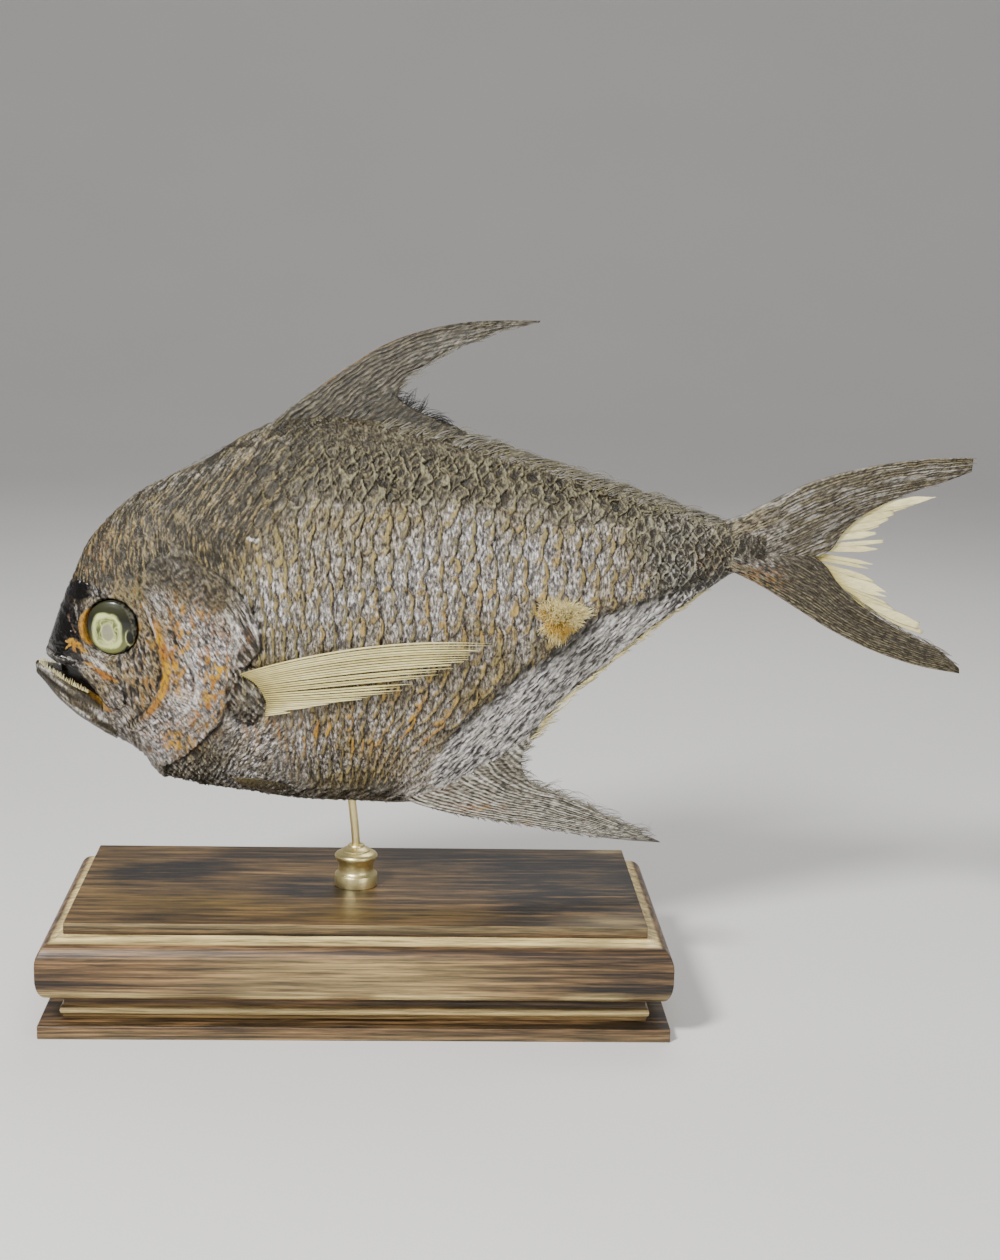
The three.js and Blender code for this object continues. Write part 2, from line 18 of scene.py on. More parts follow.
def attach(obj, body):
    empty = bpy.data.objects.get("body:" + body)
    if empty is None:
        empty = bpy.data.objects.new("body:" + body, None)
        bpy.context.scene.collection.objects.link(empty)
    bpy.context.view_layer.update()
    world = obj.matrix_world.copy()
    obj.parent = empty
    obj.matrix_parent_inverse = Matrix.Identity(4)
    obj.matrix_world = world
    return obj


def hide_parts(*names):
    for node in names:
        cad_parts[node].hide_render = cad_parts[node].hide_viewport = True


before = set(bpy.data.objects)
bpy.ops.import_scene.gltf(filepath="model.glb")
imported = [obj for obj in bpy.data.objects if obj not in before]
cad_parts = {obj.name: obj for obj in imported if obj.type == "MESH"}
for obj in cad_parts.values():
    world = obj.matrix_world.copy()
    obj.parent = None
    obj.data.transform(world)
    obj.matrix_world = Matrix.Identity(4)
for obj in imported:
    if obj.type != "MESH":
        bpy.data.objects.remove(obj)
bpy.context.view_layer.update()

bl_info = {
    "name": "Mounted pomfret",
    "version": (1, 0, 0),
    "blender": (4, 5, 0),
    "location": "3D View > Sidebar > Pomfret",
    "description": "Builds a dried pomfret on its brass rod and moulded pine base",
    "category": "Object",
}

MM = 0.001

# Camera, found from the perspective of the base: place in metres, angles in degrees
CAMERA_PLACE = (0.02408, -1.38818, 0.51624)
CAMERA_YAW = 2.725
CAMERA_DOWN = 10.968
CAMERA_ROLL = 1.333
CAMERA_LENS = 61.43

# Body outlines seen from the side: (x, height)
BACK_LINE = (
    (-206, 231), (-203, 240), (-198, 255), (-190, 275), (-180, 298), (-168, 314), (-150, 331),
    (-124, 346), (-103, 356), (-80, 371), (-60, 381), (-30, 386), (10, 384), (50, 377),
    (90, 367), (130, 354), (170, 342), (205, 331), (230, 323), (262, 322),
)
BELLY_LINE = (
    (-206, 229), (-204, 215), (-200, 205), (-182, 187), (-160, 172), (-143, 162), (-131, 149),
    (-116, 144), (-80, 138), (-40, 132), (0, 130), (25, 129), (50, 132), (80, 147), (110, 168),
    (130, 195), (160, 222), (190, 248), (225, 275), (250, 290), (262, 291),
)

# Body sections: half width, share of the height below the widest place, and exponents of the curve
# above and below it, each along x
HALF_WIDTH_LINE = (
    (-206, 2), (-200, 15), (-185, 25), (-160, 32), (-120, 37), (-70, 39), (0, 38), (70, 33),
    (130, 25), (190, 16.5), (235, 11), (262, 9),
)
WIDEST_LINE = (
    (-206, 0.5), (-190, 0.42), (-160, 0.42), (-100, 0.46), (0, 0.5), (100, 0.5), (180, 0.52),
    (262, 0.5),
)
UPPER_FULLNESS = ((-206, 0.5), (-100, 0.55), (262, 0.55))
LOWER_FULLNESS = ((-206, 0.5), (-40, 0.5), (60, 0.95), (130, 1.15), (200, 0.9), (262, 0.5))

# Lateral line: (x, height)
LATERAL_LINE = (
    (-206, 300), (-120, 318), (-40, 330), (20, 332.5), (60, 332), (100, 330), (140, 325),
    (175, 316), (205, 309), (262, 306),
)

# Skin grid: pieces by x, with the distance between rings along the outline
SKIN_PIECES = (
    ("skin_snout", -206, -150, 0.8),
    ("skin_cheek", -150, -88, 0.62),
    ("skin_shoulder", -88, 0, 0.6),
    ("skin_middle", 0, 88, 0.6),
    ("skin_rear", 88, 172, 0.62),
    ("skin_stalk", 172, 262, 0.66),
)
SIDE_STEPS = 300
SNOUT_TIP = -206.5

# Scales: distance between rear edges in a row, and between rows
SCALE_PITCH_LINE = (
    (-206, 3), (-150, 3.6), (-118, 4.5), (-92, 5.8), (-70, 7.4), (-40, 8.8), (0, 9.9),
    (40, 10.6), (90, 11.2), (150, 11), (200, 8.8), (262, 6.4),
)
SCALE_ROW_LINE = (
    (-206, 3), (-150, 3.8), (-118, 5), (-92, 7.6), (-70, 10), (0, 10.6), (140, 10.6), (200, 7.6), (262, 5.4),
)
FINE_SCALE = 4.4

# Features of the head and flank: lines of places (x, z), or of discs (x, z, radius)
GILL_EDGE = (
    (-107, 296), (-89.6, 285), (-73.6, 269.5), (-66, 255.5), (-65, 239.3), (-77.4, 223.2),
    (-82.6, 209.1), (-88.5, 197.4), (-91.2, 189.1), (-102.5, 176.9), (-112.6, 167.1),
    (-127.6, 157.6),
)
CHEEK_RIDGE = (
    (-137, 269), (-131.1, 255.6), (-126.1, 238.9), (-123.7, 223.6), (-126.4, 209.6),
    (-131.7, 200.4), (-137, 193.9), (-149.9, 183.1),
)
PLATE_TOP = (
    (-206, 262), (-190, 275), (-170, 279), (-150, 278), (-138, 289), (-120, 303), (-107, 299),
    (-90, 287), (-72, 272), (-60, 262),
)
COVER_FURROW = ((-121, 249.6), (-114.7, 236.9), (-109.3, 226), (-106.5, 217), (-108, 205))
COVER_FOLD = ((-79.4, 255), (-80.3, 237), (-82.1, 221.5), (-84.8, 214.3))
MAXILLA = (
    (-187, 225.5, 1.2), (-180, 224, 3), (-173, 219.5, 4.6), (-166.5, 213, 6), (-161, 206.5, 7.2),
    (-158.3, 203, 7),
)
MOUTH_ROOF = ((-206, 226), (-200, 224.5), (-187, 222.6), (-175, 216.5), (-168, 206), (-160, 196))
UPPER_LIP = ((-204.5, 230.5, 1.4), (-194, 229.5, 1.3), (-186, 227.4, 1.1))
CREASE = (
    (40, 131), (45.4, 158.8), (58.7, 178.5), (78.6, 197.3), (104, 222.6), (128.7, 236.5),
    (151.6, 258.1), (180.6, 266.1), (213.5, 278.4), (262, 291),
)
FIN_ROOT = (-72, 208)

# Width of the bands of fine scales along the back and the belly: (x, width)
BACK_SHEATH = (
    (-206, 0), (-150, 0), (-112, 8), (-80, 17), (-40, 24), (20, 24), (60, 18), (100, 12),
    (140, 9), (262, 3),
)
BELLY_BAND = (
    (-206, 2), (-150, 26), (-100, 34), (-60, 30), (-20, 20), (30, 15), (60, 5), (262, 0),
)

# Paint on the head: strength and line of discs
AMBER_MARKS = (
    (1, ((-189.5, 240.5, 0.9), (-185.5, 240, 2.4), (-180, 237.6, 2.2), (-176.6, 234.6, 0.8))),
    (1, ((-184.6, 240, 1.2), (-184, 234, 0.9))),
    (1, ((-179.6, 238.4, 1.2), (-178.8, 232.6, 0.8))),
    (1, ((-187, 238, 1), (-189.6, 235.4, 0.6))),
    (1, ((-178, 228.4, 0.5), (-172.6, 226, 0.8), (-168.4, 222.4, 1.1), (-163.6, 219.2, 2.0),
         (-157, 215.2, 1.0))),
    (0.9, ((-188, 212, 1), (-178, 207, 1.6), (-170.5, 200.5, 2), (-164, 195.6, 2), (-157.6, 196.3, 1))),
    (0.5, ((-189.3, 257, 1.1), (-187, 252, 0.8), (-184, 246.4, 0.6))),
    (0.8, ((-173.6, 208.4, 1.2), (-168.6, 205, 1.4), (-166.4, 200, 1))),
)
PALE_MARKS = (
    (0.4, ((-178.4, 232.2, 0.8), (-172, 229.6, 1.5), (-165.5, 225.4, 1.3), (-161, 222, 0.8))),
    (0.35, ((-190, 230.6, 0.4), (-183, 228, 0.5), (-178.6, 224.4, 0.4))),
    (0.5, ((-183.6, 262, 0.8), (-182.2, 257.4, 0.9), (-182, 254.6, 0.5))),
    (0.5, ((-138.5, 267.5, 0.6), (-133.4, 255, 0.8), (-130.4, 246, 0.6))),
    (0.5, ((-79.4, 255, 0.7), (-80.3, 237, 0.9), (-82.4, 221.5, 0.9), (-85.2, 214.3, 0.7))),
    (1.6, ((-72, 310, 0.8), (-66.4, 309, 1))),
    (0.7, ((-150.4, 250.2, 0.6), (-151, 246, 0.6), (-149, 240, 0.6))),
)
BLACK_MARKS = (
    (0.9, ((-196, 262, 4), (-192, 250, 6), (-191, 240, 6), (-193, 233, 4))),
    (0.75, ((-190, 280, 3), (-184, 275, 6), (-174, 273, 5), (-166, 271, 3))),
    (0.6, ((-183.8, 258, 0.8), (-184.6, 250, 0.9), (-181, 240.5, 0.8))),
    (0.8, ((-204, 227.4, 1), (-190, 225.4, 1), (-181, 221.5, 1.2), (-173, 212, 1.2))),
    (0.9, ((-171.4, 213.6, 0.8), (-167.8, 205.4, 0.9), (-163, 199.2, 1), (-156, 197, 1))),
    (0.7, ((-170, 222, 0.6), (-159, 214.4, 0.7), (-152, 207, 0.8), (-150.2, 200, 0.8))),
    (0.6, ((-90, 206, 1), (-92.4, 190, 1.2), (-100, 179, 1.2), (-110, 170, 1))),
)
JAW_STRIPE = ((1, ((-189, 211, 0.9), (-180, 207.6, 1.5), (-172, 202, 1.9), (-164, 195.6, 2.0))),)
JAW_GLINT = ((1, ((-187, 211, 0.5), (-181, 208.4, 0.8), (-176, 205.4, 0.7))),)

# Colour masks of a skin: one channel each, in this order
CHANNELS = (
    "edge", "gap", "tint", "strand", "warm", "silver", "dark", "lean", "orange", "pale", "black", "fine",
)

# Right eye, with its turn and tilt in radians
EYE_CENTRE = (-159.8, 30.6, 250.5)
EYE_RADIUS = 16.4
EYE_TALL = 1.05
EYE_TURN = 0.2
EYE_TILT = 0.08

# Lower jaw
JAW_FRONT = -212.4
JAW_REAR = -160
JAW_TOP = ((-212.4, 221.5), (-204, 219.5), (-196, 215.5), (-186, 210.5), (-174, 205), (-160, 196))
JAW_BOTTOM = ((-212.4, 214.5), (-204, 206), (-194, 196.5), (-184, 188.5), (-174, 181.5), (-160, 172))
JAW_HALF = ((-212.4, 1.6), (-208, 6.5), (-200, 14.5), (-190, 20), (-174, 22.5), (-160, 17))

# Tuft of fibre on the left flank
TUFT_CENTRE = (128, 260)
TUFT_RADII = (15.2, 11.475)

# Width over which rays are counted in a fin whose rays are all drawn to its tip
FAN_WIDTH = 36

# Stand
ROD_X = -2.8
PANEL_TOP = 71.7

# Place in metres that all lights point at
LIGHT_AIM = (0.05, 0, 0.22)


# Numbers

def along(points, x):
    """Height at x on the smooth line through points, which are sorted by x."""
    px, py = (np.array(c, float) for c in zip(*points))
    step = np.diff(px)
    rise = np.diff(py) / step
    slope = np.concatenate([rise[:1], np.zeros(len(px) - 2), rise[-1:]])
    slope[1:-1] = (rise[:-1] * step[1:] + rise[1:] * step[:-1]) / (step[:-1] + step[1:])
    x = np.clip(x, px[0], px[-1])
    i = np.clip(np.searchsorted(px, x, side="right") - 1, 0, len(step) - 1)
    h = step[i]
    t = (x - px[i]) / h
    s = 1 - t
    return ((1 + 2 * t) * s * s * py[i] + t * s * s * h * slope[i]
            + t * t * (3 - 2 * t) * py[i + 1] - t * t * s * h * slope[i + 1])


def on_line(points, t):
    """Place at t, from 0 to 1, along the smooth line through points of any size."""
    pts = np.array(points, float)
    run = np.concatenate([[0], np.cumsum(np.linalg.norm(np.diff(pts, axis=0), axis=1))])
    run /= run[-1]
    columns = [along(tuple(zip(run, pts[:, k])), np.asarray(t, float)) for k in range(pts.shape[1])]
    return np.stack(columns, axis=-1)


def smooth(a, b, v):
    """0 at a, 1 at b, and a soft step between."""
    t = np.clip((v - a) / (b - a), 0, 1)
    return t * t * (3 - 2 * t)


def hashed(i, j, seed):
    """An even spread of values from 0 to 1, one for each pair of whole numbers."""
    n = (np.asarray(i).astype(np.int64) * 374761393 + np.asarray(j).astype(np.int64) * 668265263
         + seed * 982451653) & 0x7FFFFFFF
    n = ((n ^ (n >> 13)) * 1274126177) & 0x7FFFFFFF
    n = ((n ^ (n >> 15)) * 461845907) & 0x7FFFFFFF
    return ((n ^ (n >> 16)) & 0xFFFF) / 65535.0


def noise(u, v, seed):
    """Soft random values from 0 to 1 whose bumps are about one unit wide."""
    i, j = np.floor(u), np.floor(v)
    s, t = u - i, v - j
    s, t = s * s * (3 - 2 * s), t * t * (3 - 2 * t)
    low = hashed(i, j, seed) * (1 - s) + hashed(i + 1, j, seed) * s
    high = hashed(i, j + 1, seed) * (1 - s) + hashed(i + 1, j + 1, seed) * s
    return low * (1 - t) + high * t


def rough(u, v, seed):
    """Noise with two finer layers."""
    return (noise(u, v, seed) + 0.5 * noise(2.1 * u, 2.1 * v, seed + 1)
            + 0.25 * noise(4.3 * u, 4.3 * v, seed + 2)) / 1.75


def crinkle(u, v, seed):
    """Sharp creases: 1 on a crest, 0 in the hollows."""
    return 1 - np.abs(2 * noise(u, v, seed) - 1)


def blob(x, z, spot):
    """A soft round or oval patch: spot is (x, z, radius x, radius z, strength)."""
    return spot[4] * np.exp(-((x - spot[0]) / spot[2]) ** 2 - ((z - spot[1]) / spot[3]) ** 2)


def blobs(x, z, spots):
    """The sum of several patches."""
    return sum(blob(x, z, spot) for spot in spots)


def stroke(x, z, spine, radius=None):
    """Distance from a line of discs, in their own radii: 0 on the line, 1 on the edge."""
    nearest = np.full(np.shape(x), 1e9)
    discs = [(p[0], p[1], radius or p[2]) for p in spine]
    for (x0, z0, r0), (x1, z1, r1) in zip(discs, discs[1:]):
        dx, dz = x1 - x0, z1 - z0
        t = np.clip(((x - x0) * dx + (z - z0) * dz) / (dx * dx + dz * dz), 0, 1)
        gap = np.hypot(x - x0 - t * dx, z - z0 - t * dz) / (r0 + (r1 - r0) * t)
        nearest = np.minimum(nearest, gap)
    return nearest


def bell(q):
    """1 at 0, falling softly to both sides."""
    return np.exp(-q * q)


def dome(q):
    """Height of a half circle: 1 at 0, and 0 from 1 on."""
    return np.sqrt(np.clip(1 - q * q, 0, 1))


def line_x(line, z):
    """x of a line whose z only falls or only rises."""
    pts = sorted((p[1], p[0]) for p in line)
    return np.interp(z, [p[0] for p in pts], [p[1] for p in pts])


# Body

def section(x):
    """The body's section at x: top, bottom, half width, height of the widest place, fullness."""
    top, bottom = along(BACK_LINE, x), along(BELLY_LINE, x)
    middle = bottom + along(WIDEST_LINE, x) * (top - bottom)
    return top, bottom, along(HALF_WIDTH_LINE, x), middle, along(UPPER_FULLNESS, x), along(LOWER_FULLNESS, x)


def half_thickness(x, z):
    """Distance from the middle plane to the smooth flank at a place seen from the side."""
    top, bottom, width, middle, upper, lower = section(x)
    is_upper = z >= middle
    extent = np.where(is_upper, top - middle, middle - bottom)
    t = np.clip(np.abs(z - middle) / extent, 0, 1)
    return width * (1 - t * t) ** np.where(is_upper, upper, lower)


def flank_grid(stations):
    """Rows of points down the flank at each station: half width, height and run from the back."""
    a = np.linspace(0, math.pi, 600)
    even = np.linspace(0, 1, SIDE_STEPS + 1)
    halves, heights, runs = [], [], []
    for x in stations:
        top, bottom, width, middle, upper, lower = section(x)
        is_upper = np.cos(a) >= 0
        z = middle + np.cos(a) * np.where(is_upper, top - middle, middle - bottom)
        half = width * np.clip(np.sin(a), 0, 1) ** (2 * np.where(is_upper, upper, lower))
        run = np.concatenate([[0], np.cumsum(np.hypot(np.diff(half), np.diff(z)))])
        want = even * run[-1]
        halves.append(np.interp(want, run, half))
        heights.append(np.interp(want, run, z))
        runs.append(want)
    halves = np.array(halves)
    halves[:, [0, -1]] = 0
    return halves, np.array(heights), np.array(runs)


def spread_stations(start, end, step):
    """Places from start to end, closer together where the outline is steep."""
    fine = np.linspace(start, end, 3000)
    slope = np.gradient(along(BACK_LINE, fine), fine)
    steep = np.where(fine < -100, slope, 0)
    run = np.concatenate([[0], np.cumsum(np.hypot(1, steep)[1:] * np.diff(fine))])
    return np.interp(np.linspace(0, run[-1], round(run[-1] / step) + 1), run, fine)


def streaks(x, z, degrees, wide, long, seed):
    """Fibrous noise drawn out along a direction, in degrees from +X towards +Z."""
    c, s = math.cos(math.radians(degrees)), math.sin(math.radians(degrees))
    along_it, across_it = x * c + z * s, z * c - x * s
    across_it = across_it + 1.2 * wide * noise(x / (4 * wide), z / (4 * wide), seed + 1)
    return noise(along_it / long, across_it / wide, seed)


def lattice(column, row, seed, stagger=0.5, recede=0.5, power=3.0, lean=0.0, thick=0.14, full=0.0):
    """Overlapping scales on a unit grid. Each scale's free edge is at its rear and recedes towards
    its neighbours' edges: in an arc at power 3, as a point at power 1. Returns the height, the thick
    middle of the edge, the whole edge as a strand, the shadow behind it, and a random tint."""
    layers = []
    for offset in (0, 1):
        r = np.floor(row) + offset
        v = row - r
        across = np.abs(v)
        c = column + stagger * np.mod(r, 2) + recede * across ** power + lean * v
        c = c + 0.22 * (hashed(r, np.round(c), seed) - 0.5)
        behind = c - np.floor(c)
        tint = hashed(r, np.floor(c), seed + 5)
        club = (0.5 + 0.5 * smooth(-0.6, 0.45, v)) * smooth(0.85, 0.55, across)
        width = (0.29 + 0.17 * tint - 0.08 * full) * (full + (1 - full) * club)
        bar = smooth(width + 0.03, width - 0.09, 1 - behind) * np.maximum(full, smooth(0.8, 0.55, across))
        strand = smooth(thick, 0.4 * thick, 1 - behind) * (1 - 0.2 * across)
        strand = np.maximum(strand, 0.6 * smooth(0.5 * thick, 0, np.abs(1 - behind - 2.4 * thick)))
        shadow = smooth(0.13, 0.02, behind) * (1 - 0.5 * across)
        slope = np.exp(-(1 - behind) / 0.3) * (1 - 0.5 * across * across)
        layers.append((1 - behind, slope, bar, strand, shadow, tint))
    upper, lower = layers
    first = smooth(-0.07, 0.07, lower[0] - upper[0])
    slope = np.maximum(upper[1], lower[1])
    bar = first * upper[2] + (1 - first) * lower[2]
    strand = np.maximum(upper[3], lower[3])
    shadow = np.maximum(upper[4], lower[4]) * (1 - bar) * (1 - 0.7 * strand)
    return slope, bar, strand, shadow, np.where(first > 0.5, upper[5], lower[5])


def flank_coordinates(stations, z, run):
    """Column and row of the scale pattern at each place of the flank, and the height over the
    lateral line."""
    x = stations[:, None]
    pitch = along(SCALE_PITCH_LINE, stations)
    columns = np.concatenate([[0], np.cumsum(np.diff(stations) / (0.5 * (pitch[1:] + pitch[:-1])))])
    # The scales lean evenly between two heights, and more and more beyond them
    high, low = 312, 236
    up = np.clip(z - high, 0, None)
    down = np.clip(low - z, 0, None) * smooth(-50, 50, x)
    tilt = 0.1 + 0.22 * bell((x + 72) / 22)
    lean = -tilt * (np.minimum(z, high) - 270) + 0.0055 * up ** 2 - 0.009 * down ** 2
    column = columns[:, None] - lean / pitch[:, None]
    line_z = along(LATERAL_LINE, stations)
    line_run = np.array([np.interp(-h, -row, r) for h, row, r in zip(line_z, z, run)])[:, None]
    over = line_run - run
    spacing = along(SCALE_ROW_LINE, x) * (1 - 0.36 * smooth(0, 22, over) * smooth(-100, -60, x))
    rows = np.zeros_like(run)
    rows[:, 1:] = np.cumsum(np.diff(run, axis=1) / (0.5 * (spacing[:, 1:] + spacing[:, :-1])), axis=1)
    at_line = np.array([np.interp(s, r, k) for s, r, k in zip(line_run[:, 0], run, rows)])[:, None]
    net = np.maximum(smooth(-6, 10, over), smooth(160, 190, x))
    column = column + 0.3 * (noise(x / 26, z / 22, 11) - 0.5) + 0.14 * (noise(x / 9, z / 11, 13) - 0.5)
    column = column + (0.1 + 0.3 * net) * (noise(x / 4.6, z / 5.4, 14) - 0.5)
    row = rows - at_line + 0.5 + 0.5 * (noise(x / 24, z / 20, 12) - 0.5)
    row = row + (0.08 + 0.24 * net) * (noise(x / 5.2, z / 4.8, 15) - 0.5)
    return column, row, over


def painted(x, z, marks):
    """Adds up strokes with a firm edge, each (strength, line of discs)."""
    return sum(strength * smooth(1.35, 0.6, stroke(x, z, spine)) for strength, spine in marks)


def flank_surface(stations, half, z, run):
    """Relief in millimetres and the colour masks of one flank."""
    x = np.broadcast_to(stations[:, None], z.shape)
    length = run[:, -1:]
    column, row, over = flank_coordinates(stations, z, run)
    gill_x = line_x(GILL_EDGE, z)
    ridge_x = line_x(CHEEK_RIDGE, z)
    behind_ridge = x - ridge_x

    # Where each kind of surface lies
    plate_top = np.interp(x, *zip(*PLATE_TOP))
    over_plates = z - plate_top + 5 * (noise(x / 5, z / 5, 23) - 0.5)
    plates = smooth(1.2, -1.2, x - gill_x) * smooth(4, -4, over_plates)
    nape = smooth(-60, -90, x - 0.8 * np.clip(z - 296, -20, 60)) * (1 - plates)
    honey = np.maximum(smooth(-8, 12, over + 16 * (noise(x / 8, z / 7, 24) - 0.5)) * smooth(-75, -10, x),
                       smooth(166, 192, x + 0.5 * (z - 300)))
    sheath = along(BACK_SHEATH, x)
    fine_back = smooth(sheath + 2.5, sheath - 3, run) * smooth(-140, -105, x)
    belly_band = along(BELLY_BAND, x)
    fine_belly = smooth(belly_band + 8, belly_band - 8, length - run) * (1 - plates)
    breast = np.clip(blobs(x, z, ((-72, 178, 24, 26, 1.5), (-108, 150, 30, 14, 1.5))), 0, 1)
    tail_root = smooth(240, 258, x + 4 * (noise(x / 5, z / 5, 68) - 0.5))
    fine = np.clip(np.maximum.reduce([fine_back, fine_belly, breast, tail_root]), 0, 1)
    below = (z - np.interp(x, *zip(*CREASE))) * 0.72
    fin_base = smooth(3, -4, below + 4 * (noise(x / 5, z / 5, 22) - 0.5)) * smooth(42, 54, x) \
        * smooth(252, 222, x)
    body = np.clip(1 - plates - fin_base, 0, 1) * (1 - 0.92 * fine)
    netted = np.maximum(honey, 0.8 * nape)
    uneven = noise(x / 6, z / 7, 62)
    front = smooth(-24, -52, x) * (1 - nape) * (1 - honey) * smooth(205, 225, z)
    bent = column + (0.14 + 0.22 * netted) * (noise(x / 3.1, z / 3.9, 70) - 0.5)
    slope, bar, strand, shadow, tint = lattice(
        bent, row, 3, 0.2 + 0.3 * netted, 0.42 + 0.1 * netted, 2.1 - 0.8 * netted, 0.14 * (1 - netted),
        0.1 + 0.06 * honey + 0.26 * uneven, 0.45 * front)
    forward = smooth(296, 326, z + 0.3 * (x + 100))
    round_x = x + 0.8 * half
    nape_streak = (1 - forward) * streaks(round_x, z, 110, 0.85, 6, 63) \
        + forward * streaks(round_x, z, 66, 0.85, 8, 65)
    fine_slope, _, fine_line, fine_shadow, fine_tint = lattice(
        x / FINE_SCALE + 0.8 * noise(x / 9, z / 9, 21), run / (0.95 * FINE_SCALE), 8)

    # Fibres and grains of the dried skin
    wrinkle = streaks(x, z, 84, 1.3, 4.2, 31)
    creases = streaks(x, z, 97, 1.0, 2.6, 57)
    coarse = noise(x / 4.2, z / 6.5, 39)
    dash = streaks(x, z, 101, 1.25, 4.2, 37)
    grains = 0.6 * noise(x / 1.9, z / 2.1, 35) + 0.4 * noise(x / 1.1, z / 1.2, 36)
    cover_streak = noise(behind_ridge / 1.3 + noise(x / 4, z / 5, 41), z / 4.6, 40)
    flap_streak = streaks(x, z, 120, 1.15, 9, 45)
    mound_streak = streaks(x, z, 128, 1.2, 4.2, 47)
    breast_streak = streaks(x, z, 60, 1.05, 3.4, 54)
    belly_streak = streaks(x, z, 30, 1.3, 5, 55)
    sheath_streak = streaks(x, z, 46, 1.0, 5.5, 34)
    speck = noise(x / 2.3, z / 2.8, 42)
    spots = noise(x / 1.9, z / 3.2, 43)

    # Parts of the head
    eye_gap = np.hypot(x - EYE_CENTRE[0], (z - EYE_CENTRE[2]) / EYE_TALL)
    cheek = plates * smooth(1.5, -1.5, behind_ridge) * smooth(-172, -160, x + 0.2 * (z - 240))
    crown = plates * np.clip(blobs(x, z, ((-118, 288, 26, 15, 1.4), (-92, 272, 15, 9, 1.0),
                                          (-146, 272, 12, 8, 0.8))), 0, 1)
    flap = plates * smooth(-18, -12, x - gill_x + 0.25 * (z - 250)) * smooth(214, 224, z) * (1 - crown)
    cover = plates * smooth(-1, 3, behind_ridge) * (1 - crown) * (1 - flap)
    snout = np.clip(plates - cheek - crown - flap - cover, 0, 1)
    fin_root = np.hypot((x - FIN_ROOT[0]) / 13, (z - FIN_ROOT[1]) / 18)
    mound = smooth(1.02, 0.94, fin_root)
    fibre = cheek * dash + crown * grains + flap * flap_streak + cover * (0.6 * cover_streak + 0.4 * grains) \
        + snout * (0.6 * noise(x / 5, z / 4, 58) + 0.4 * grains) + fine_belly * belly_streak * (1 - breast) \
        + breast * (1 - plates) * breast_streak
    fibred = np.clip(plates + fine_belly * (1 - breast) + breast * (1 - plates), 0.001, None)
    fibre = fibre / np.maximum(fibred, 0.4)
    # light marks the raised crests of the fibres, which take paler colours; deep marks their hollows, which
    # take painted shade
    light = smooth(0.5, 0.74, fibre)
    deep = smooth(0.46, 0.24, fibre)

    # Relief
    scale_rise = along(((-206, 0.35), (-150, 0.6), (-100, 0.85), (-70, 1.2), (150, 1.35),
                        (220, 1.15), (262, 0.8)), x)
    thin = smooth(0.5, 6, half)
    edge_shape = np.maximum(bar * (1 - 0.6 * netted), strand * (0.45 + 0.6 * honey))
    relief = body * thin * scale_rise * (0.45 * slope + 0.7 * edge_shape - 0.4 * shadow - 0.25)
    relief += body * (0.6 * (wrinkle - 0.5) + 0.4 * (creases - 0.5) + 0.5 * (coarse - 0.5)) * (1 - 0.7 * bar)
    relief += 1.2 * nape * thin * (nape_streak - 0.5)
    relief += fine * thin * (0.6 * fine_slope - 0.5 * fine_shadow) + fine_back * 0.7 * (belly_streak - 0.5)
    relief += fin_base * (1.5 * (sheath_streak - 0.5) + 0.8 * (coarse - 0.5) + 0.5) * smooth(0.5, 3, half)
    relief -= 1.9 * bell(below / 3.4) * smooth(44, 58, x) * smooth(238, 210, x)
    relief += 1.6 * (noise(x / 30, z / 26, 46) - 0.5) * body
    across_gill = np.clip(behind_ridge / np.maximum(gill_x - ridge_x, 1), 0, 1)
    relief += plates * smooth(-2, 3, behind_ridge) * (0.3 + 1.7 * across_gill)
    relief += 1.9 * np.clip(fibred, 0, 1) * (fibre - 0.5) * smooth(0.3, 2.5, half)
    ridge = stroke(x, z, CHEEK_RIDGE, 3.6)
    relief += 1.6 * bell(ridge) * plates - 0.9 * bell((behind_ridge + 4.6) / 1.1) * cheek
    relief -= bell(stroke(x, z, COVER_FURROW, 1.3))
    relief += 0.9 * bell(stroke(x - 3.4, z, COVER_FURROW, 2.2))
    relief -= 1.3 * bell(stroke(x, z, COVER_FOLD, 1.1)) - 0.9 * bell(stroke(x + 2.6, z, COVER_FOLD, 1.3))
    relief += 1.3 * bell((eye_gap - 19.4) / 1.7)
    relief = np.where(eye_gap < 18.0, -6.5 * smooth(18.0, 16.8, eye_gap), relief)
    maxilla = stroke(x, z, MAXILLA)
    under_lip = smooth(1.6, -1.6, z - np.interp(x, *zip(*MOUTH_ROOF)))
    cavity = under_lip * smooth(-166, -171, x)
    relief = relief * (1 - cavity) - 8 * cavity
    relief = np.where(maxilla < 1, 0.7 + 2.6 * dome(maxilla) + 1.1 * (grains - 0.5), relief)
    lip = stroke(x, z, UPPER_LIP)
    relief += 1.1 * bell(lip)
    relief += 4.4 * np.clip(1 - fin_root ** 2, 0, 1) + mound * 1.5 * (mound_streak - 0.5)
    relief -= 1.6 * bell((fin_root - 1.08) / 0.08) * smooth(-58, -72, x)
    # A small hole behind the eye, sunk into the skin; the black added to it further down is painted shade
    tear = stroke(x, z, ((-148.8, 248.6, 1.8), (-147.4, 242, 2)))
    relief -= 2.6 * bell(tear)

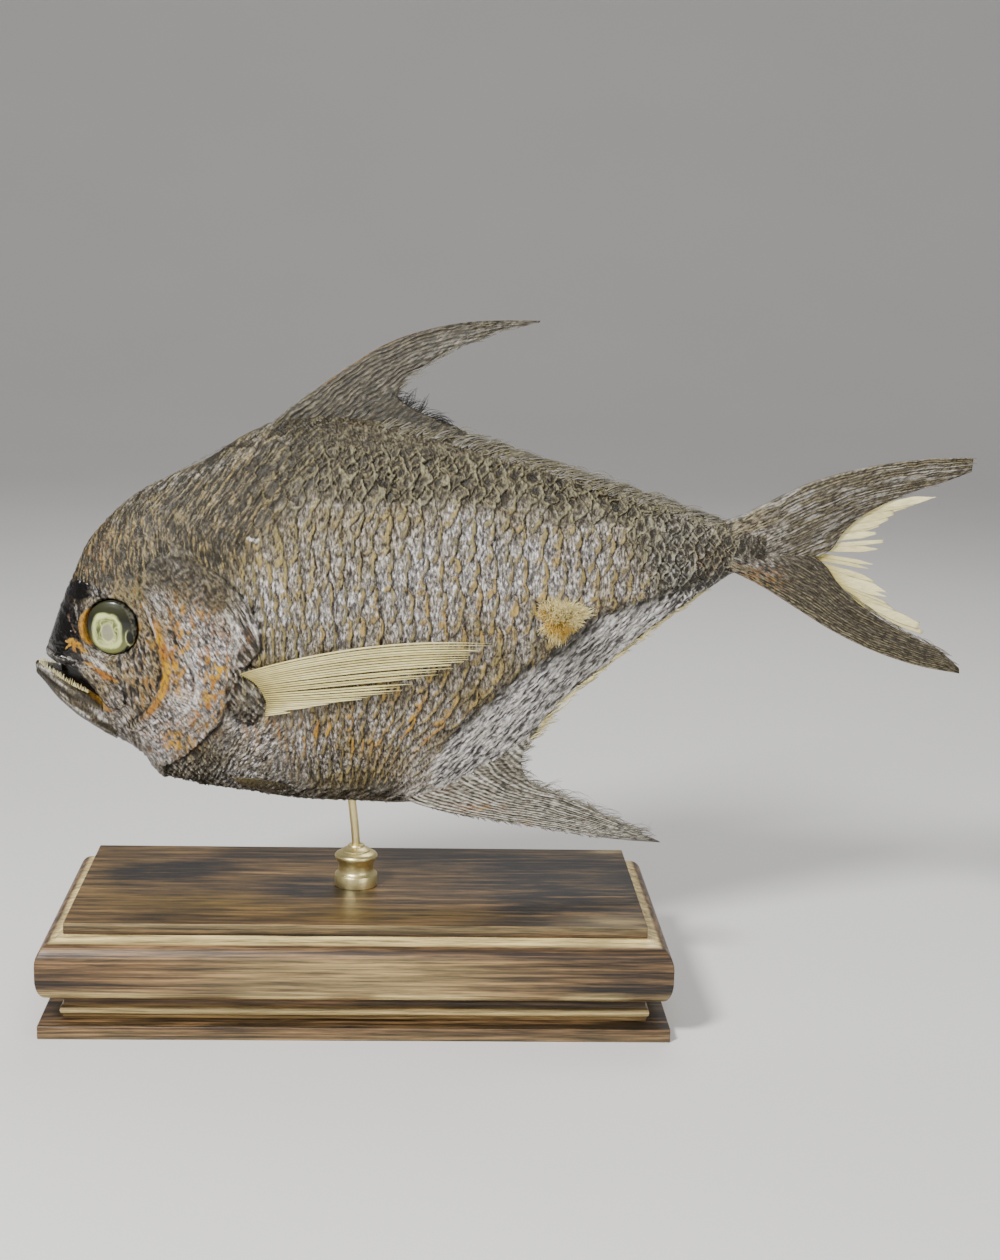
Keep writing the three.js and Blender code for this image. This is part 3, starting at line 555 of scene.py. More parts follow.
    # Scale masks
    patchy = rough(x / 9, z / 9, 41)
    torn = 0.6 + 0.4 * smooth(0.2, 0.6, noise(x / 2.4, z / 4, 48))
    ribs = 0.5 + 0.5 * np.cos((z + 0.35 * x + 2 * noise(x / 8, z / 8, 52)) * 3.4)
    mound_light = mound * smooth(0.5, 0.75, mound_streak)
    nape_break = 0.4 + 0.6 * smooth(0.3, 0.6, noise(round_x / 3, z / 4, 67))
    gold = nape * smooth(0.48, 0.68, nape_streak) * nape_break
    edge = body * bar * (1 - 0.85 * netted) * (torn + (1 - torn) * front) + 0.5 * gold \
        + 0.4 * cheek * light + 0.1 * cover * light + 0.4 * breast * light + 0.35 * mound_light
    lines = body * strand * (0.75 + 0.25 * netted) * torn * (1 - 0.6 * nape) + fine * 0.45 * fine_line \
        + 0.45 * fine_back * smooth(0.5, 0.7, belly_streak) + 0.5 * crown * light
    # Gap: painted shade behind each scale's raised edge and in the hollows of the wrinkles and nape streaks
    gap = body * shadow * (0.32 + 0.3 * netted) * torn + 0.5 * fine_back * smooth(0.42, 0.2, belly_streak)
    gap += 0.5 * body * smooth(0.4, 0.16, wrinkle * (0.6 + 0.8 * coarse)) * (1 - bar) \
        + 0.6 * nape * smooth(0.5, 0.3, nape_streak)
    # Painted shade in the hollows of the fine scales and of the fibres
    gap += fine * 0.35 * fine_shadow + np.clip(fibred, 0, 1) * deep * (0.9 - 0.4 * snout - 0.3 * cover)
    # Painted shade in the hollows of the sheath's streaks and in the groove along the crease
    gap += fin_base * 0.5 * smooth(0.42, 0.22, sheath_streak) + 0.7 * bell(below / 2.6) * smooth(46, 62, x) \
        * smooth(235, 200, x)
    # Painted shadow cast by the gill cover's raised rear edge
    gap += 0.85 * bell((x - gill_x - 1.4) / 1.5) * smooth(300, 285, z) * (1 - 0.5 * plates)
    # Painted shade in the hollows of the streaks on the fin mound
    gap += 0.75 * mound * smooth(0.46, 0.28, mound_streak)
    # Painted shade in the furrow of the gill cover and in the groove in front of the cheek ridge
    gap += 0.85 * smooth(1.3, 0.6, stroke(x, z, COVER_FURROW, 0.9)) \
        + 0.7 * bell((behind_ridge + 4.4) / 0.9) * cheek

    # Hue masks
    warm = 0.3 + blobs(x, z, (
        (60, 268, 60, 26, 0.45), (-62, 268, 26, 50, 0.25), (-20, 183, 52, 19, 0.75),
        (-128, 312, 30, 14, 0.35), (40, 208, 50, 28, 0.4), (140, 292, 45, 18, 0.4),
        (-172, 296, 20, 22, 0.5))) - 0.9 * np.maximum(honey * smooth(190, 150, x), 0.6 * honey)
    warm = (warm + 0.7 * (patchy - 0.5) + 0.35 * (tint - 0.5)) * (body + fine) \
        + 0.55 * cheek * (0.4 + speck) + 0.1 * gold - 0.1 * front
    # Silver: how much of its silver the skin keeps, which also sets how many painted glints its cells get
    silver = 0.16 + 1.2 * (rough(x / 13, z / 16, 49) - 0.42) + blobs(x, z, (
        (88, 296, 76, 34, 0.6), (10, 266, 76, 34, 0.5), (190, 288, 40, 14, 0.5),
        (-60, 175, 60, 26, 0.3), (-106, 214, 6, 22, 0.8)))
    silver = silver * (1 - honey * smooth(195, 170, x)) * (1 - 0.7 * nape)
    silver += 0.8 * fin_base + 0.3 * fine_belly + 0.1 * cover + 0.1 * flap + 0.05 * fine_back - 0.4 * crown
    # Painted highlight: a silvery band below the sheath along the front of the back
    silver += 0.5 * bell((run - sheath - 4) / 5) * smooth(-175, -150, x) * smooth(-60, -90, x)
    dark = 0.02 + blobs(x, z, (
        (52, 214, 52, 26, 0.3), (140, 236, 30, 16, 0.5), (-20, 158, 60, 9, 0.2)))
    # A darker band along the crease: dark skin there, with painted shade of its groove
    dark += 0.35 * bell(stroke(x, z, CREASE, 6)) * smooth(46, 80, x) * smooth(210, 170, x)
    dark += honey * (1 - strand) * (1 - 0.6 * fine_back) + 0.5 * crown + 0.45 * fine_back
    dark += (0.95 * nape * (1 - gold) + 0.2 * crown) * (1 - 0.5 * fine_back)
    dark += 0.7 * mound + 0.7 * smooth(40, 5, length - run) * (1 - fin_base) + 0.3 * flap * (1 - light)
    dark += 0.4 * bell((z - plate_top - 1) / 6) * smooth(-100, -130, x)
    dark = dark * (1 - np.clip(edge, 0, 1)) * (1 - 0.8 * np.clip(lines, 0, 1))
    lean = np.clip(0.5 + 0.5 * (breast + fine_belly + fin_base) - 0.5 * (plates + mound)
                   + nape * (0.9 * forward - 0.4), 0, 1)

    # Marks
    band = smooth(-3.4, -2.2, behind_ridge) * smooth(3.6, 1.2, behind_ridge + 2.2 * (spots - 0.5))
    band = band * smooth(262, 250, z) * smooth(188, 198, z) * plates
    orange = band * (0.7 + 0.3 * smooth(0.3, 0.5, cover_streak))
    orange += blobs(x, z, (
        (-93, 224, 9, 16, 1.4), (-99, 197, 10, 11, 1.2), (-119, 177, 14, 8, 0.9),
        (-108, 262, 14, 13, 0.7), (-117.5, 226, 5, 24, 1.0), (-113, 240, 9, 12, 0.5),
        (-73, 246, 4, 7, 0.5), (222, 296, 10, 9, 0.35))) * smooth(0.46, 0.66, spots) * (0.55 + 0.45 * torn)
    orange += blobs(x, z, ((-25, 184, 46, 13, 1.0), (36, 190, 30, 22, 0.7), (60, 262, 60, 24, 0.25))) \
        * bar * smooth(0.45, 0.75, tint)
    orange += 0.2 * cover * smooth(0.55, 0.75, spots) * torn
    orange += cheek * 0.55 * smooth(0.6, 0.72, dash) * smooth(0.4, 0.6, speck) * smooth(-156, -140, x)
    orange += 0.6 * nape * blob(x, z, (-174, 291, 16, 22, 1)) * smooth(0.5, 0.72, speck)
    mark_x = x + 1.6 * (noise(x / 2.2, z / 2.2, 60) - 0.5)
    mark_z = z + 1.6 * (noise(x / 2.2, z / 2.2, 61) - 0.5)
    orange += painted(mark_x, mark_z, AMBER_MARKS) * (0.6 + 0.4 * smooth(0.2, 0.5, grains))
    orange += 0.95 * smooth(16.6, 17.4, eye_gap) * smooth(22.4, 20.8, eye_gap + 0.025 * (z - 251) ** 2) \
        * smooth(-172, -175, x)
    orange = orange * (1 - cavity)
    pale = painted(mark_x, mark_z, PALE_MARKS) * (1 - cavity) \
        + 0.5 * smooth(1.2, 0.7, lip) * smooth(0.35, 0.55, grains)
    pale += cover * (0.25 * smooth(0.6, 0.8, fibre)) * (1 - band) \
        + 0.6 * flap * smooth(0.62, 0.8, flap_streak)
    pale += 0.75 * smooth(1.2, 0.5, stroke(x - 2.6, z, COVER_FURROW, 2.0)) * smooth(240, 226, z) \
        * (0.5 + 0.5 * light)
    pale += 0.7 * ribs * blob(x, z, (-112, 204, 7, 9, 1.3))
    pale += 0.3 * smooth(0.62, 0.8, mound_streak) * mound
    # Painted highlights: small white glints in the silvery cells
    pale += 0.5 * body * (1 - honey) * smooth(0.55, 0.8, creases) * smooth(0.5, 0.72, coarse) \
        * smooth(0.2, 0.6, silver) * (1 - bar)
    pale += (0.8 * fin_base * smooth(0.3, 0.62, sheath_streak) + 0.3 * (fine_belly * (1 - plates)) * light) \
        * (0.6 + 0.4 * torn)
    dashes = smooth(0.2, 0.35, np.mod(column, 1)) * smooth(0.9, 0.75, np.mod(column, 1))
    pale += 0.3 * dashes * bell((over - 0.4) / 0.6) * smooth(-70, -40, x) * smooth(215, 195, x)
    pale += 0.25 * nape * smooth(0.7, 0.8, speck) * smooth(30, 8, run)
    flare = np.clip(blob(x, z, (41, 145, 13, 24, 1.4)), 0, 1)
    dark, gap = dark * (1 - flare), gap * (1 - 0.6 * flare)
    silver += 0.5 * flare + 0.35 * breast * (1 - plates)
    gap = gap * (1 - 0.35 * breast * (1 - plates))
    pale += 0.55 * flare * smooth(0.3, 0.6, belly_streak)
    orange += 0.4 * flare * smooth(0.6, 0.8, belly_streak)
    # The mouth's hollow is painted near-black: painted shade inside the mouth
    black = 0.95 * cavity + painted(mark_x, mark_z, BLACK_MARKS)
    # Painted shade: black in the hole behind the eye, and at the top of the eye socket under its rim
    black += 1.1 * bell(tear) \
        + 0.8 * bell(eye_gap - 17.6) * smooth(-12, 4, z - EYE_CENTRE[2] + 0.6 * (x + 160))
    black += 0.95 * snout * smooth(-172, -182, x) * smooth(0.1, 0.35, rough(x / 4, z / 4, 53))
    # Painted shade in the groove round the front of the fin mound
    black += 0.8 * bell((fin_root - 1.08) / 0.09) * smooth(-58, -72, x)
    black = black * (1 - np.clip(orange, 0, 1)) * (1 - np.clip(pale, 0, 1))

    masks = [np.clip(m, 0, 1) for m in (
        edge, gap, tint * body + fine_tint * (1 - body), lines,
        warm, silver, dark, lean, orange, pale, black, fine)]
    return relief, masks


def grid_normals(points):
    """Directions square to a grid of closed rings."""
    down = np.roll(points, -1, 1) - np.roll(points, 1, 1)
    normals = np.cross(down, np.gradient(points, axis=0))
    return normals / np.maximum(np.linalg.norm(normals, axis=2, keepdims=True), 1e-9)


def capped_tube(points, masks):
    """Vertices, quads, triangles and masks of a tube of rings, closed by a fan at both ends."""
    rings, around = points.shape[:2]
    masks = masks.reshape(rings, around, -1)
    hubs = np.stack([points[0].mean(0), points[-1].mean(0)])
    hub_masks = np.stack([masks[0].mean(0), masks[-1].mean(0)])
    i, j = np.meshgrid(np.arange(rings - 1) * around, np.arange(around), indexing="ij")
    k = (j + 1) % around
    quads = np.stack([i + j, i + k, i + around + k, i + around + j], -1).reshape(-1, 4)
    j, k = j[0], k[0]
    end = (rings - 1) * around
    fans = np.concatenate([
        np.stack([np.full(around, rings * around), k, j], -1),
        np.stack([np.full(around, rings * around + 1), end + j, end + k], -1)])
    return (np.concatenate([points.reshape(-1, 3), hubs]), quads, fans,
            np.concatenate([masks.reshape(rings * around, -1), hub_masks]))


def face_out(vertices, quads, triangles):
    """Turns all faces over if they enclose a negative volume."""
    halves = np.concatenate([quads[:, :3], quads[:, [0, 2, 3]], triangles])
    a, b, c = (vertices[halves[:, k]] for k in range(3))
    inside_out = np.einsum("ij,ij->", a, np.cross(b, c)) < 0
    return (quads[:, ::-1], triangles[:, ::-1]) if inside_out else (quads, triangles)


# Meshes and materials

def srgb(code):
    """An sRGB hex colour as linear red, green, blue and alpha."""
    channels = [int(code[k:k + 2], 16) / 255 for k in (1, 3, 5)]
    return (*(c / 12.92 if c <= 0.04045 else ((c + 0.055) / 1.055) ** 2.4 for c in channels), 1.0)


def dress(piece, material, node):
    """Gives a finished piece its material and its place in the frame."""
    piece.data.materials.clear()
    piece.data.materials.append(material)
    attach(piece, "root")
    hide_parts(node)


def new_piece(name, vertices, quads, triangles, masks, material, node="fish", slot="fish_skin", normals=None):
    """A smooth closed mesh in metres from arrays in millimetres, facing out, with its masks as
    colour attributes."""
    quads, triangles = face_out(vertices, quads, np.reshape(triangles, (-1, 3)).astype(int))
    mesh = bpy.data.meshes.new(name)
    mesh.vertices.add(len(vertices))
    mesh.vertices.foreach_set("co", (vertices * MM).astype(np.float32).ravel())
    corners = np.concatenate([quads.ravel(), triangles.ravel()]).astype(np.int32)
    starts = np.concatenate([np.arange(len(quads)) * 4, len(quads) * 4 + np.arange(len(triangles)) * 3])
    mesh.loops.add(len(corners))
    mesh.loops.foreach_set("vertex_index", corners)
    mesh.polygons.add(len(starts))
    mesh.polygons.foreach_set("loop_start", starts.astype(np.int32))
    mesh.polygons.foreach_set("use_smooth", np.ones(len(starts), bool))
    mesh.update(calc_edges=True)
    for k in range(3):
        layer = mesh.attributes.new(f"mask_{k + 1}", "FLOAT_COLOR", "POINT")
        layer.data.foreach_set("color", np.ascontiguousarray(masks[:, 4 * k:4 * k + 4], np.float32).ravel())
    if normals is not None:
        mesh.normals_split_custom_set_from_vertices(normals.tolist())
    piece = bpy.data.objects.new(name, mesh)
    bpy.context.scene.collection.objects.link(piece)
    dress(piece, material, node)


def connect(node, inputs):
    """Sets a node's inputs, each to a value, to a socket or to another node's first output. Inputs are
    a dict, or a tuple in the node's own order: for MixRGB the factor, the colour under and the colour
    over, and for MapRange the value, from min and max, to min and max. Inputs 0, 2 and 3 of Mix are
    its factor and its two numbers."""
    for key, value in inputs.items() if isinstance(inputs, dict) else enumerate(inputs):
        if isinstance(value, bpy.types.Node):
            value = value.outputs[0]
        if isinstance(value, bpy.types.NodeSocket):
            node.id_data.links.new(value, node.inputs[key])
        else:
            node.inputs[key].default_value = value


def add_node(tree, kind, inputs=None, **settings):
    """Adds a shader node with its settings and its inputs."""
    node = tree.nodes.new("ShaderNode" + kind)
    node.location = (180 * (len(tree.nodes) % 12), -220 * (len(tree.nodes) // 12))
    for key, value in settings.items():
        setattr(node, key, value)
    connect(node, inputs or {})
    return node


def new_material(name):
    """A bare material, add_node for its tree, its shader and its object coordinates. Where the
    material is there already, the last three are None."""
    material = bpy.data.materials.get(name)
    if material:
        return material, None, None, None
    material = bpy.data.materials.new(name)
    material.use_nodes = True
    add = partial(add_node, material.node_tree)
    return material, add, material.node_tree.nodes["Principled BSDF"], add("TexCoord").outputs["Object"]


def read_masks(add, number):
    """The four channels of a mask attribute."""
    layer = add("Attribute", attribute_name=f"mask_{number}")
    split = add("SeparateColor", {"Color": layer.outputs["Color"]})
    return (*split.outputs, layer.outputs["Alpha"])


def skin_material(skin, name="dried_varnished_skin", turns=(32, 0, -42)):
    """Dried, varnished fish skin: grey-violet cells, olive to bronze scale edges, dark gaps of painted
    shade, with painted shade in the creases and painted glints on the silvery cells. The varnish gives
    it a tight, slightly broken gloss. Its creases lean by three turns, in degrees."""
    material, add, shader, place = new_material(name)
    if add is None:
        return material
    edge, gap, tint, strand = read_masks(add, 1)
    warm, silver, dark, lean = read_masks(add, 2)
    orange, pale, black, fine = read_masks(add, 3)
    # Creases about 1.4 mm apart and 4 mm long: leaning back on the head, upright on the flank and
    # leaning forward below it, along the rays on the fins, and patches about 12 mm wide
    creases = []
    for degrees in turns:
        turned = add("Mapping", {"Vector": place, "Rotation": (0, math.radians(degrees), 0)})
        drawn = add("Mapping", {"Vector": turned, "Scale": (1, 1, 0.36)})
        creases.append(add("TexNoise", {"Vector": drawn, "Scale": 700, "Detail": 5, "Roughness": 0.64}))
    back_lean = add("MapRange", (lean, 0.0, 0.5))
    front_lean = add("MapRange", (lean, 0.5, 1.0))
    fibre = add("Mix", {0: back_lean, 2: creases[0], 3: creases[1]})
    fibre = add("Mix", {0: front_lean, 2: fibre, 3: creases[2]})
    patch = add("TexNoise", {"Vector": place, "Scale": 85, "Detail": 3})
    grain = add("TexVoronoi", {"Vector": place, "Scale": 520}, feature="F1")
    wave = add("MapRange", (fibre, 0.4, 0.57))
    shift = add("MapRange", (patch, 0.35, 0.65))
    body = add("MixRGB", (silver, skin.cell_brown, skin.cell_grey))
    shade = add("MixRGB", (silver, skin.shade_brown, skin.shade_grey))
    # Painted shade: the cells take the shade colours in the hollows of the creases
    cell = add("MixRGB", (wave, shade, body))
    # Painted highlights: white glints on the crests of the creases, as many as the skin's silver allows
    glint = add("MapRange", (fibre, 0.54, 0.64))
    shine = add("Math", (silver, glint), operation="MULTIPLY")
    cell = add("MixRGB", (shine, cell, skin.cell_glint))
    strand_break = add("MapRange", (fibre, 0.38, 0.56, 0.15, 1.0))
    vary = add("MapRange", (tint, 0, 1, 0.62, 1.15))
    thread = add("MixRGB", (warm, skin.strand_olive, skin.strand_tan))
    strand_amount = add("Math", (strand, strand_break), operation="MULTIPLY")
    base = add("MixRGB", (strand_amount, cell, thread))
    rim = add("MixRGB", (warm, skin.edge_olive, skin.edge_bronze))
    rim = add("MixRGB", (1, rim, vary), blend_type="MULTIPLY")
    rim_break = add("MapRange", (fibre, 0.38, 0.56, 0.3, 1.0))
    rim_amount = add("Math", (edge, rim_break), operation="MULTIPLY")
    base = add("MixRGB", (rim_amount, base, rim))
    # Painted shade and light: darker in the hollows of the creases, lighter on their crests, as the bump
    # raises them
    crumb = add("MapRange", (fibre, 0.34, 0.64, 0.5, 1.26))
    base = add("MixRGB", (1, base, crumb), blend_type="MULTIPLY")
    stain = add("Math", (orange, shift), operation="MULTIPLY")
    flame = add("MixRGB", (stain, skin.orange, skin.yellow))
    fleck = add("MapRange", (fibre, 0.4, 0.56, 0.3, 1.0))
    flame_amount = add("Math", (orange, fleck), operation="MULTIPLY")
    pale_amount = add("Math", (pale, fleck), operation="MULTIPLY")
    # The gap colour is painted shade behind the scales and in hollows and grooves
    for amount, over in ((gap, skin.gap), (flame_amount, flame), (pale_amount, skin.pale),
                         (dark, skin.cell_dark), (black, skin.black)):
        base = add("MixRGB", (amount, base, over))
    sheen = add("MapRange", (patch, 0, 1, 0.16, 0.42))
    sheen = add("Mix", {0: black, 2: sheen, 3: 0.12})
    pits = add("Math", (grain, fine), operation="MULTIPLY")
    lumps = add("Math", (pits, fibre), operation="ADD")
    calm = add("Math", (black, 0.7), operation="MULTIPLY")
    lumps = add("Mix", {0: calm, 2: lumps, 3: 0.5})
    bump = add("Bump", {"Strength": 0.9, "Distance": 0.0009, "Height": lumps})
    connect(shader, {"Base Color": base, "Roughness": sheen, "Normal": bump, "IOR": 1.5,
                     "Specular IOR Level": 0.32})
    return material


def membrane_material(name, body, ray, shade, gloss):
    """Dried fin membrane or fibre: pale horn with painted shade in the hollows between the rays, like
    thin parchment that light only half enters."""
    material, add, shader, place = new_material(name)
    if add is None:
        return material
    edge, gap, tint, _ = read_masks(add, 1)
    # Fibres about 1.4 mm wide and 6 mm long
    stretch = add("Mapping", {"Vector": place, "Scale": (0.25, 1, 1)})
    fibre = add("TexNoise", {"Vector": stretch, "Scale": 700, "Detail": 3})
    base = add("MixRGB", (edge, body, ray))
    base = add("MixRGB", (gap, base, shade))
    vary = add("MapRange", (tint, 0, 1, 0.72, 1.1))
    base = add("MixRGB", (1, base, vary), blend_type="MULTIPLY")
    # Painted shade and light: darker in the hollows of the fibres, lighter on their crests, as the bump
    # raises them
    fleck = add("MapRange", (fibre, 0.3, 0.7, 0.78, 1.08))
    base = add("MixRGB", (1, base, fleck), blend_type="MULTIPLY")
    bump = add("Bump", {"Strength": 0.5, "Distance": 0.0004, "Height": fibre})
    connect(shader, {"Base Color": base, "Roughness": gloss, "Normal": bump, "IOR": 1.5})
    return material


def eye_material(eye):
    """Clouded eye under a clear dome: a yellow-green disc in a near-black ring, with the hard
    gloss of glass."""
    material, add, shader, place = new_material("clouded_glass_eye")
    if add is None:
        return material
    disc, rim, milk, olive = read_masks(add, 1)
    lid = read_masks(add, 2)[2]
    # Cloudy patches about 4 mm wide
    cloud = add("TexNoise", {"Vector": place, "Scale": 260, "Detail": 3})
    soft = add("MapRange", (cloud, 0.42, 0.6))
    # The olive colour paints light into the lower part of the ring, as if lit through the clear glass
    ring = add("MixRGB", (olive, eye.ring, eye.olive))
    iris = add("MixRGB", (soft, eye.disc, eye.disc_shade))
    iris = add("MixRGB", (milk, iris, eye.milk))
    iris = add("MixRGB", (rim, iris, eye.rim))
    base = add("MixRGB", (disc, ring, iris))
    clear = add("MapRange", (lid, 0, 1, 0.4, 0.0))
    connect(shader, {"Base Color": base, "Roughness": 0.35, "Specular IOR Level": 0.25, "IOR": 1.5,
                     "Coat Weight": clear, "Coat Roughness": 0.04})
    return material


def pine_material(stand):
    """Brushed and scorched pine under thin oil: soft brown grain ribs, sooty clouds and bare
    cream wood where sanding wore the edges back. Its masks also carry painted shade in the hollows
    of the mouldings and a painted highlight across the bullnose's face."""
    material, add, shader, place = new_material("scorched_brushed_pine")
    if add is None:
        return material
    # Masks: bare wood, with a painted highlight on the bullnose; scorch, with painted shade in the fillet's
    # hollows; olive tint
    sanded_and_lit, scorch_and_shade, olive, _ = read_masks(add, 1)
    # Grain lines about 3 mm apart on the faces and 9 mm on the top, with hairlines at half of that.
    # The top's are drawn coarser than the real ones, because the eye meets it at a low angle.
    long_grain = add("Mapping", {"Vector": place, "Scale": (7, 110, 420)})
    hair_grain = add("Mapping", {"Vector": place, "Scale": (18, 240, 700)})
    ribs = add("TexNoise", {"Vector": long_grain, "Scale": 1, "Detail": 5, "Roughness": 0.62,
                            "Distortion": 0.3})
    hairs = add("TexNoise", {"Vector": hair_grain, "Scale": 1, "Detail": 4, "Roughness": 0.72})
    cloud = add("TexNoise", {"Vector": place, "Scale": 17, "Detail": 3})
    rib = add("MapRange", (ribs, 0.38, 0.62))
    hair = add("MapRange", (hairs, 0.36, 0.64, 0.34, 1.34))
    wood = add("MixRGB", (rib, stand.grain_dark, stand.grain_light))
    wood = add("MixRGB", (olive, wood, stand.olive))
    smoke = add("MapRange", (cloud, 0.4, 0.62, -0.1, 0.16))
    held = add("MapRange", (hairs, 0.38, 0.62, 1.3, 0.62))
    soot_and_shade = add("Math", (scorch_and_shade, held), operation="MULTIPLY")
    soot_and_shade = add("Math", (soot_and_shade, smoke), operation="ADD", use_clamp=True)
    wood = add("MixRGB", (soot_and_shade, wood, stand.soot_and_shade))
    wear = add("MapRange", (ribs, 0.3, 0.6, 0.82, 1.0))
    bare = add("Math", (sanded_and_lit, wear), operation="MULTIPLY", use_clamp=True)
    wood = add("MixRGB", (bare, wood, stand.sanded_and_lit))
    wood = add("MixRGB", (1, wood, hair), blend_type="MULTIPLY")
    relief = add("Math", (ribs, hairs), operation="ADD")
    bump = add("Bump", {"Strength": 0.45, "Distance": 0.0005, "Height": relief})
    connect(shader, {"Base Color": wood, "Roughness": 0.42, "Normal": bump, "IOR": 1.5})
    return material


def brass_material(stand):
    """Turned brass gone a little dull: pale yellow metal with fine lathe rings and faint smudges."""
    material, add, shader, place = new_material("turned_brass")
    if add is None:
        return material
    # Lathe rings drawn about 0.5 mm apart, coarser than the real ones, so that they show
    rings = add("Mapping", {"Vector": place, "Scale": (60, 60, 2000)})
    lathe = add("TexNoise", {"Vector": rings, "Scale": 1, "Detail": 2})
    smudge = add("TexNoise", {"Vector": place, "Scale": 160, "Detail": 3})
    tone = add("MixRGB", (smudge, stand.brass, stand.brass_dull))
    dull = add("MapRange", (smudge, 0.3, 0.7, 0.3, 0.44))
    bump = add("Bump", {"Strength": 0.25, "Distance": 0.0002, "Height": lathe})
    connect(shader, {"Base Color": tone, "Roughness": dull, "Normal": bump, "Metallic": 1.0})
    return material


# Fins, hairs and fibres

def fill_masks(shape, **channels):
    """Masks of all vertices, 12 channels: 0 but for those named, and lean at 0.5."""
    masks = np.zeros((np.prod(shape), len(CHANNELS)))
    masks[:, CHANNELS.index("lean")] = 0.5
    for name, value in channels.items():
        masks[:, CHANNELS.index(name)] = np.clip(np.broadcast_to(value, shape), 0, 1).ravel()
    return masks


def sheet_faces(rows, columns):
    """Quads of a closed sheet of two grids, left then right."""
    i, j = np.meshgrid(np.arange(rows - 1), np.arange(columns - 1), indexing="ij")
    a = (i * columns + j).ravel()
    shift = rows * columns
    left = np.stack([a, a + 1, a + columns + 1, a + columns], -1)
    right = np.stack([a, a + columns, a + columns + 1, a + 1], -1) + shift
    j = np.arange(columns - 1)
    end = (rows - 1) * columns + j
    i = np.arange(rows - 1) * columns
    last = i + columns - 1
    rim = np.concatenate([
        np.stack([j + 1, j, j + shift, j + 1 + shift], -1),
        np.stack([end, end + 1, end + 1 + shift, end + shift], -1),
        np.stack([i, i + columns, i + columns + shift, i + shift], -1),
        np.stack([last + columns, last, last + shift, last + columns + shift], -1)])
    return np.concatenate([left, right, rim])


def median_fin(name, front, rear, half, spacing, flow, hue, steps, material):
    """A fin in the middle plane, from root to tip between two edges. Its rays are parallel to the
    front edge at flow 0 and all drawn to the tip at flow 1."""
    u = np.linspace(0, 1, steps[0])[:, None]
    s = np.linspace(0, 1, steps[1])[None]
    f, r = on_line(front, s[0]), on_line(rear, s[0])
    x, z = (f[:, k] + (r - f)[:, k] * u for k in (0, 1))
    reach = np.hypot(*np.gradient(f, axis=0).T).cumsum()
    from_front = stroke(x, z, on_line(front, np.linspace(0, 1, 30)), 1.0)
    ray = ((1 - flow) * from_front + FAN_WIDTH * flow * u) / spacing
    ray = ray + 0.9 * noise(x / 16, z / 16, 51) + 0.55 * noise(x / 6, z / 5, 56)
    rib = (0.5 + 0.5 * np.cos(2 * math.pi * ray)) * (0.3 + 0.7 * hashed(np.round(ray), 3, 55))
    bead = noise(1.1 * ray, reach / 1.9, 53)
    streak = noise(1.9 * ray + 40, reach / 12, 52)
    rounded = np.clip(4 * u * (1 - u), 0.03, 1) ** 0.2
    surface = (half[1] + (half[0] - half[1]) * (1 - s) ** 1.6) * rounded
    surface = surface + (0.6 * rib + 0.2 * (bead - 0.5) + 0.5 * (streak - 0.5)) * smooth(0, 0.08, s)
    surface = np.clip(surface, 0.12, None)
    wave = 1.2 * np.sin(3 * s + 2 * u) * s
    vertices = np.concatenate([
        np.stack([x, wave + side * surface, z], -1).reshape(-1, 3) for side in (-1, 1)])
    masks = hue(x, z, u, s, rib, bead, streak)
    new_piece(name, vertices, sheet_faces(*steps), (), np.concatenate([masks, masks]), material)


def back_fin_hue(x, z, u, s, rib, bead, streak):
    """Olive rays on dark skin, paler towards the tip."""
    line = rib ** 1.5 * (0.2 + 0.8 * smooth(0.3, 0.62, bead))
    crumbs = streaks(x, z, 48, 1.0, 3.6, 72)
    return fill_masks(
        x.shape, lean=0, strand=0.15 + 0.85 * line, edge=0.35 * line, tint=bead, warm=0.15 * bead,
        # gap: painted shade in the hollows between the raised rays
        gap=0.75 * (1 - rib) ** 1.2 * smooth(0.75, 0.35, streak), silver=0.1 + 0.5 * s * streak,
        dark=((0.95 - 0.4 * s) * (1 - line) + 0.4 * line) * (0.55 + 0.9 * crumbs),
        pale=0.4 * smooth(0.3, 0.8, s) * smooth(0.5, 0.75, streak) * u + 0.3 * smooth(0.62, 0.8, crumbs),
        orange=0.55 * smooth(0.05, 0.0, u) * smooth(0.2, 0.35, s) * smooth(0.75, 0.6, s))


def belly_fin_hue(x, z, u, s, rib, bead, streak):
    """Silvery fibres with dark lines between them and a few amber stains."""
    stain = blobs(x, z, ((48, 150, 14, 12, 0.9), (75, 126, 20, 4, 0.8), (110, 115, 8, 2.5, 0.8)))
    # Painted shade in the hollows between the raised fibres
    between = (1 - rib) ** 1.4 * (0.35 + 0.65 * smooth(0.62, 0.4, streak))
    return fill_masks(
        x.shape, strand=0.4 + 0.5 * rib, gap=0.1 * smooth(0.4, 0.2, streak) + 0.6 * between, tint=bead,
        silver=0.4 + 0.25 * streak, warm=0.4 * bead, orange=0.8 * stain * smooth(0.4, 0.65, bead),
        pale=0.75 * smooth(0.25, 0.6, rib) * (0.55 + 0.45 * smooth(0.32, 0.62, streak)),
        dark=0.15 * (1 - rib))


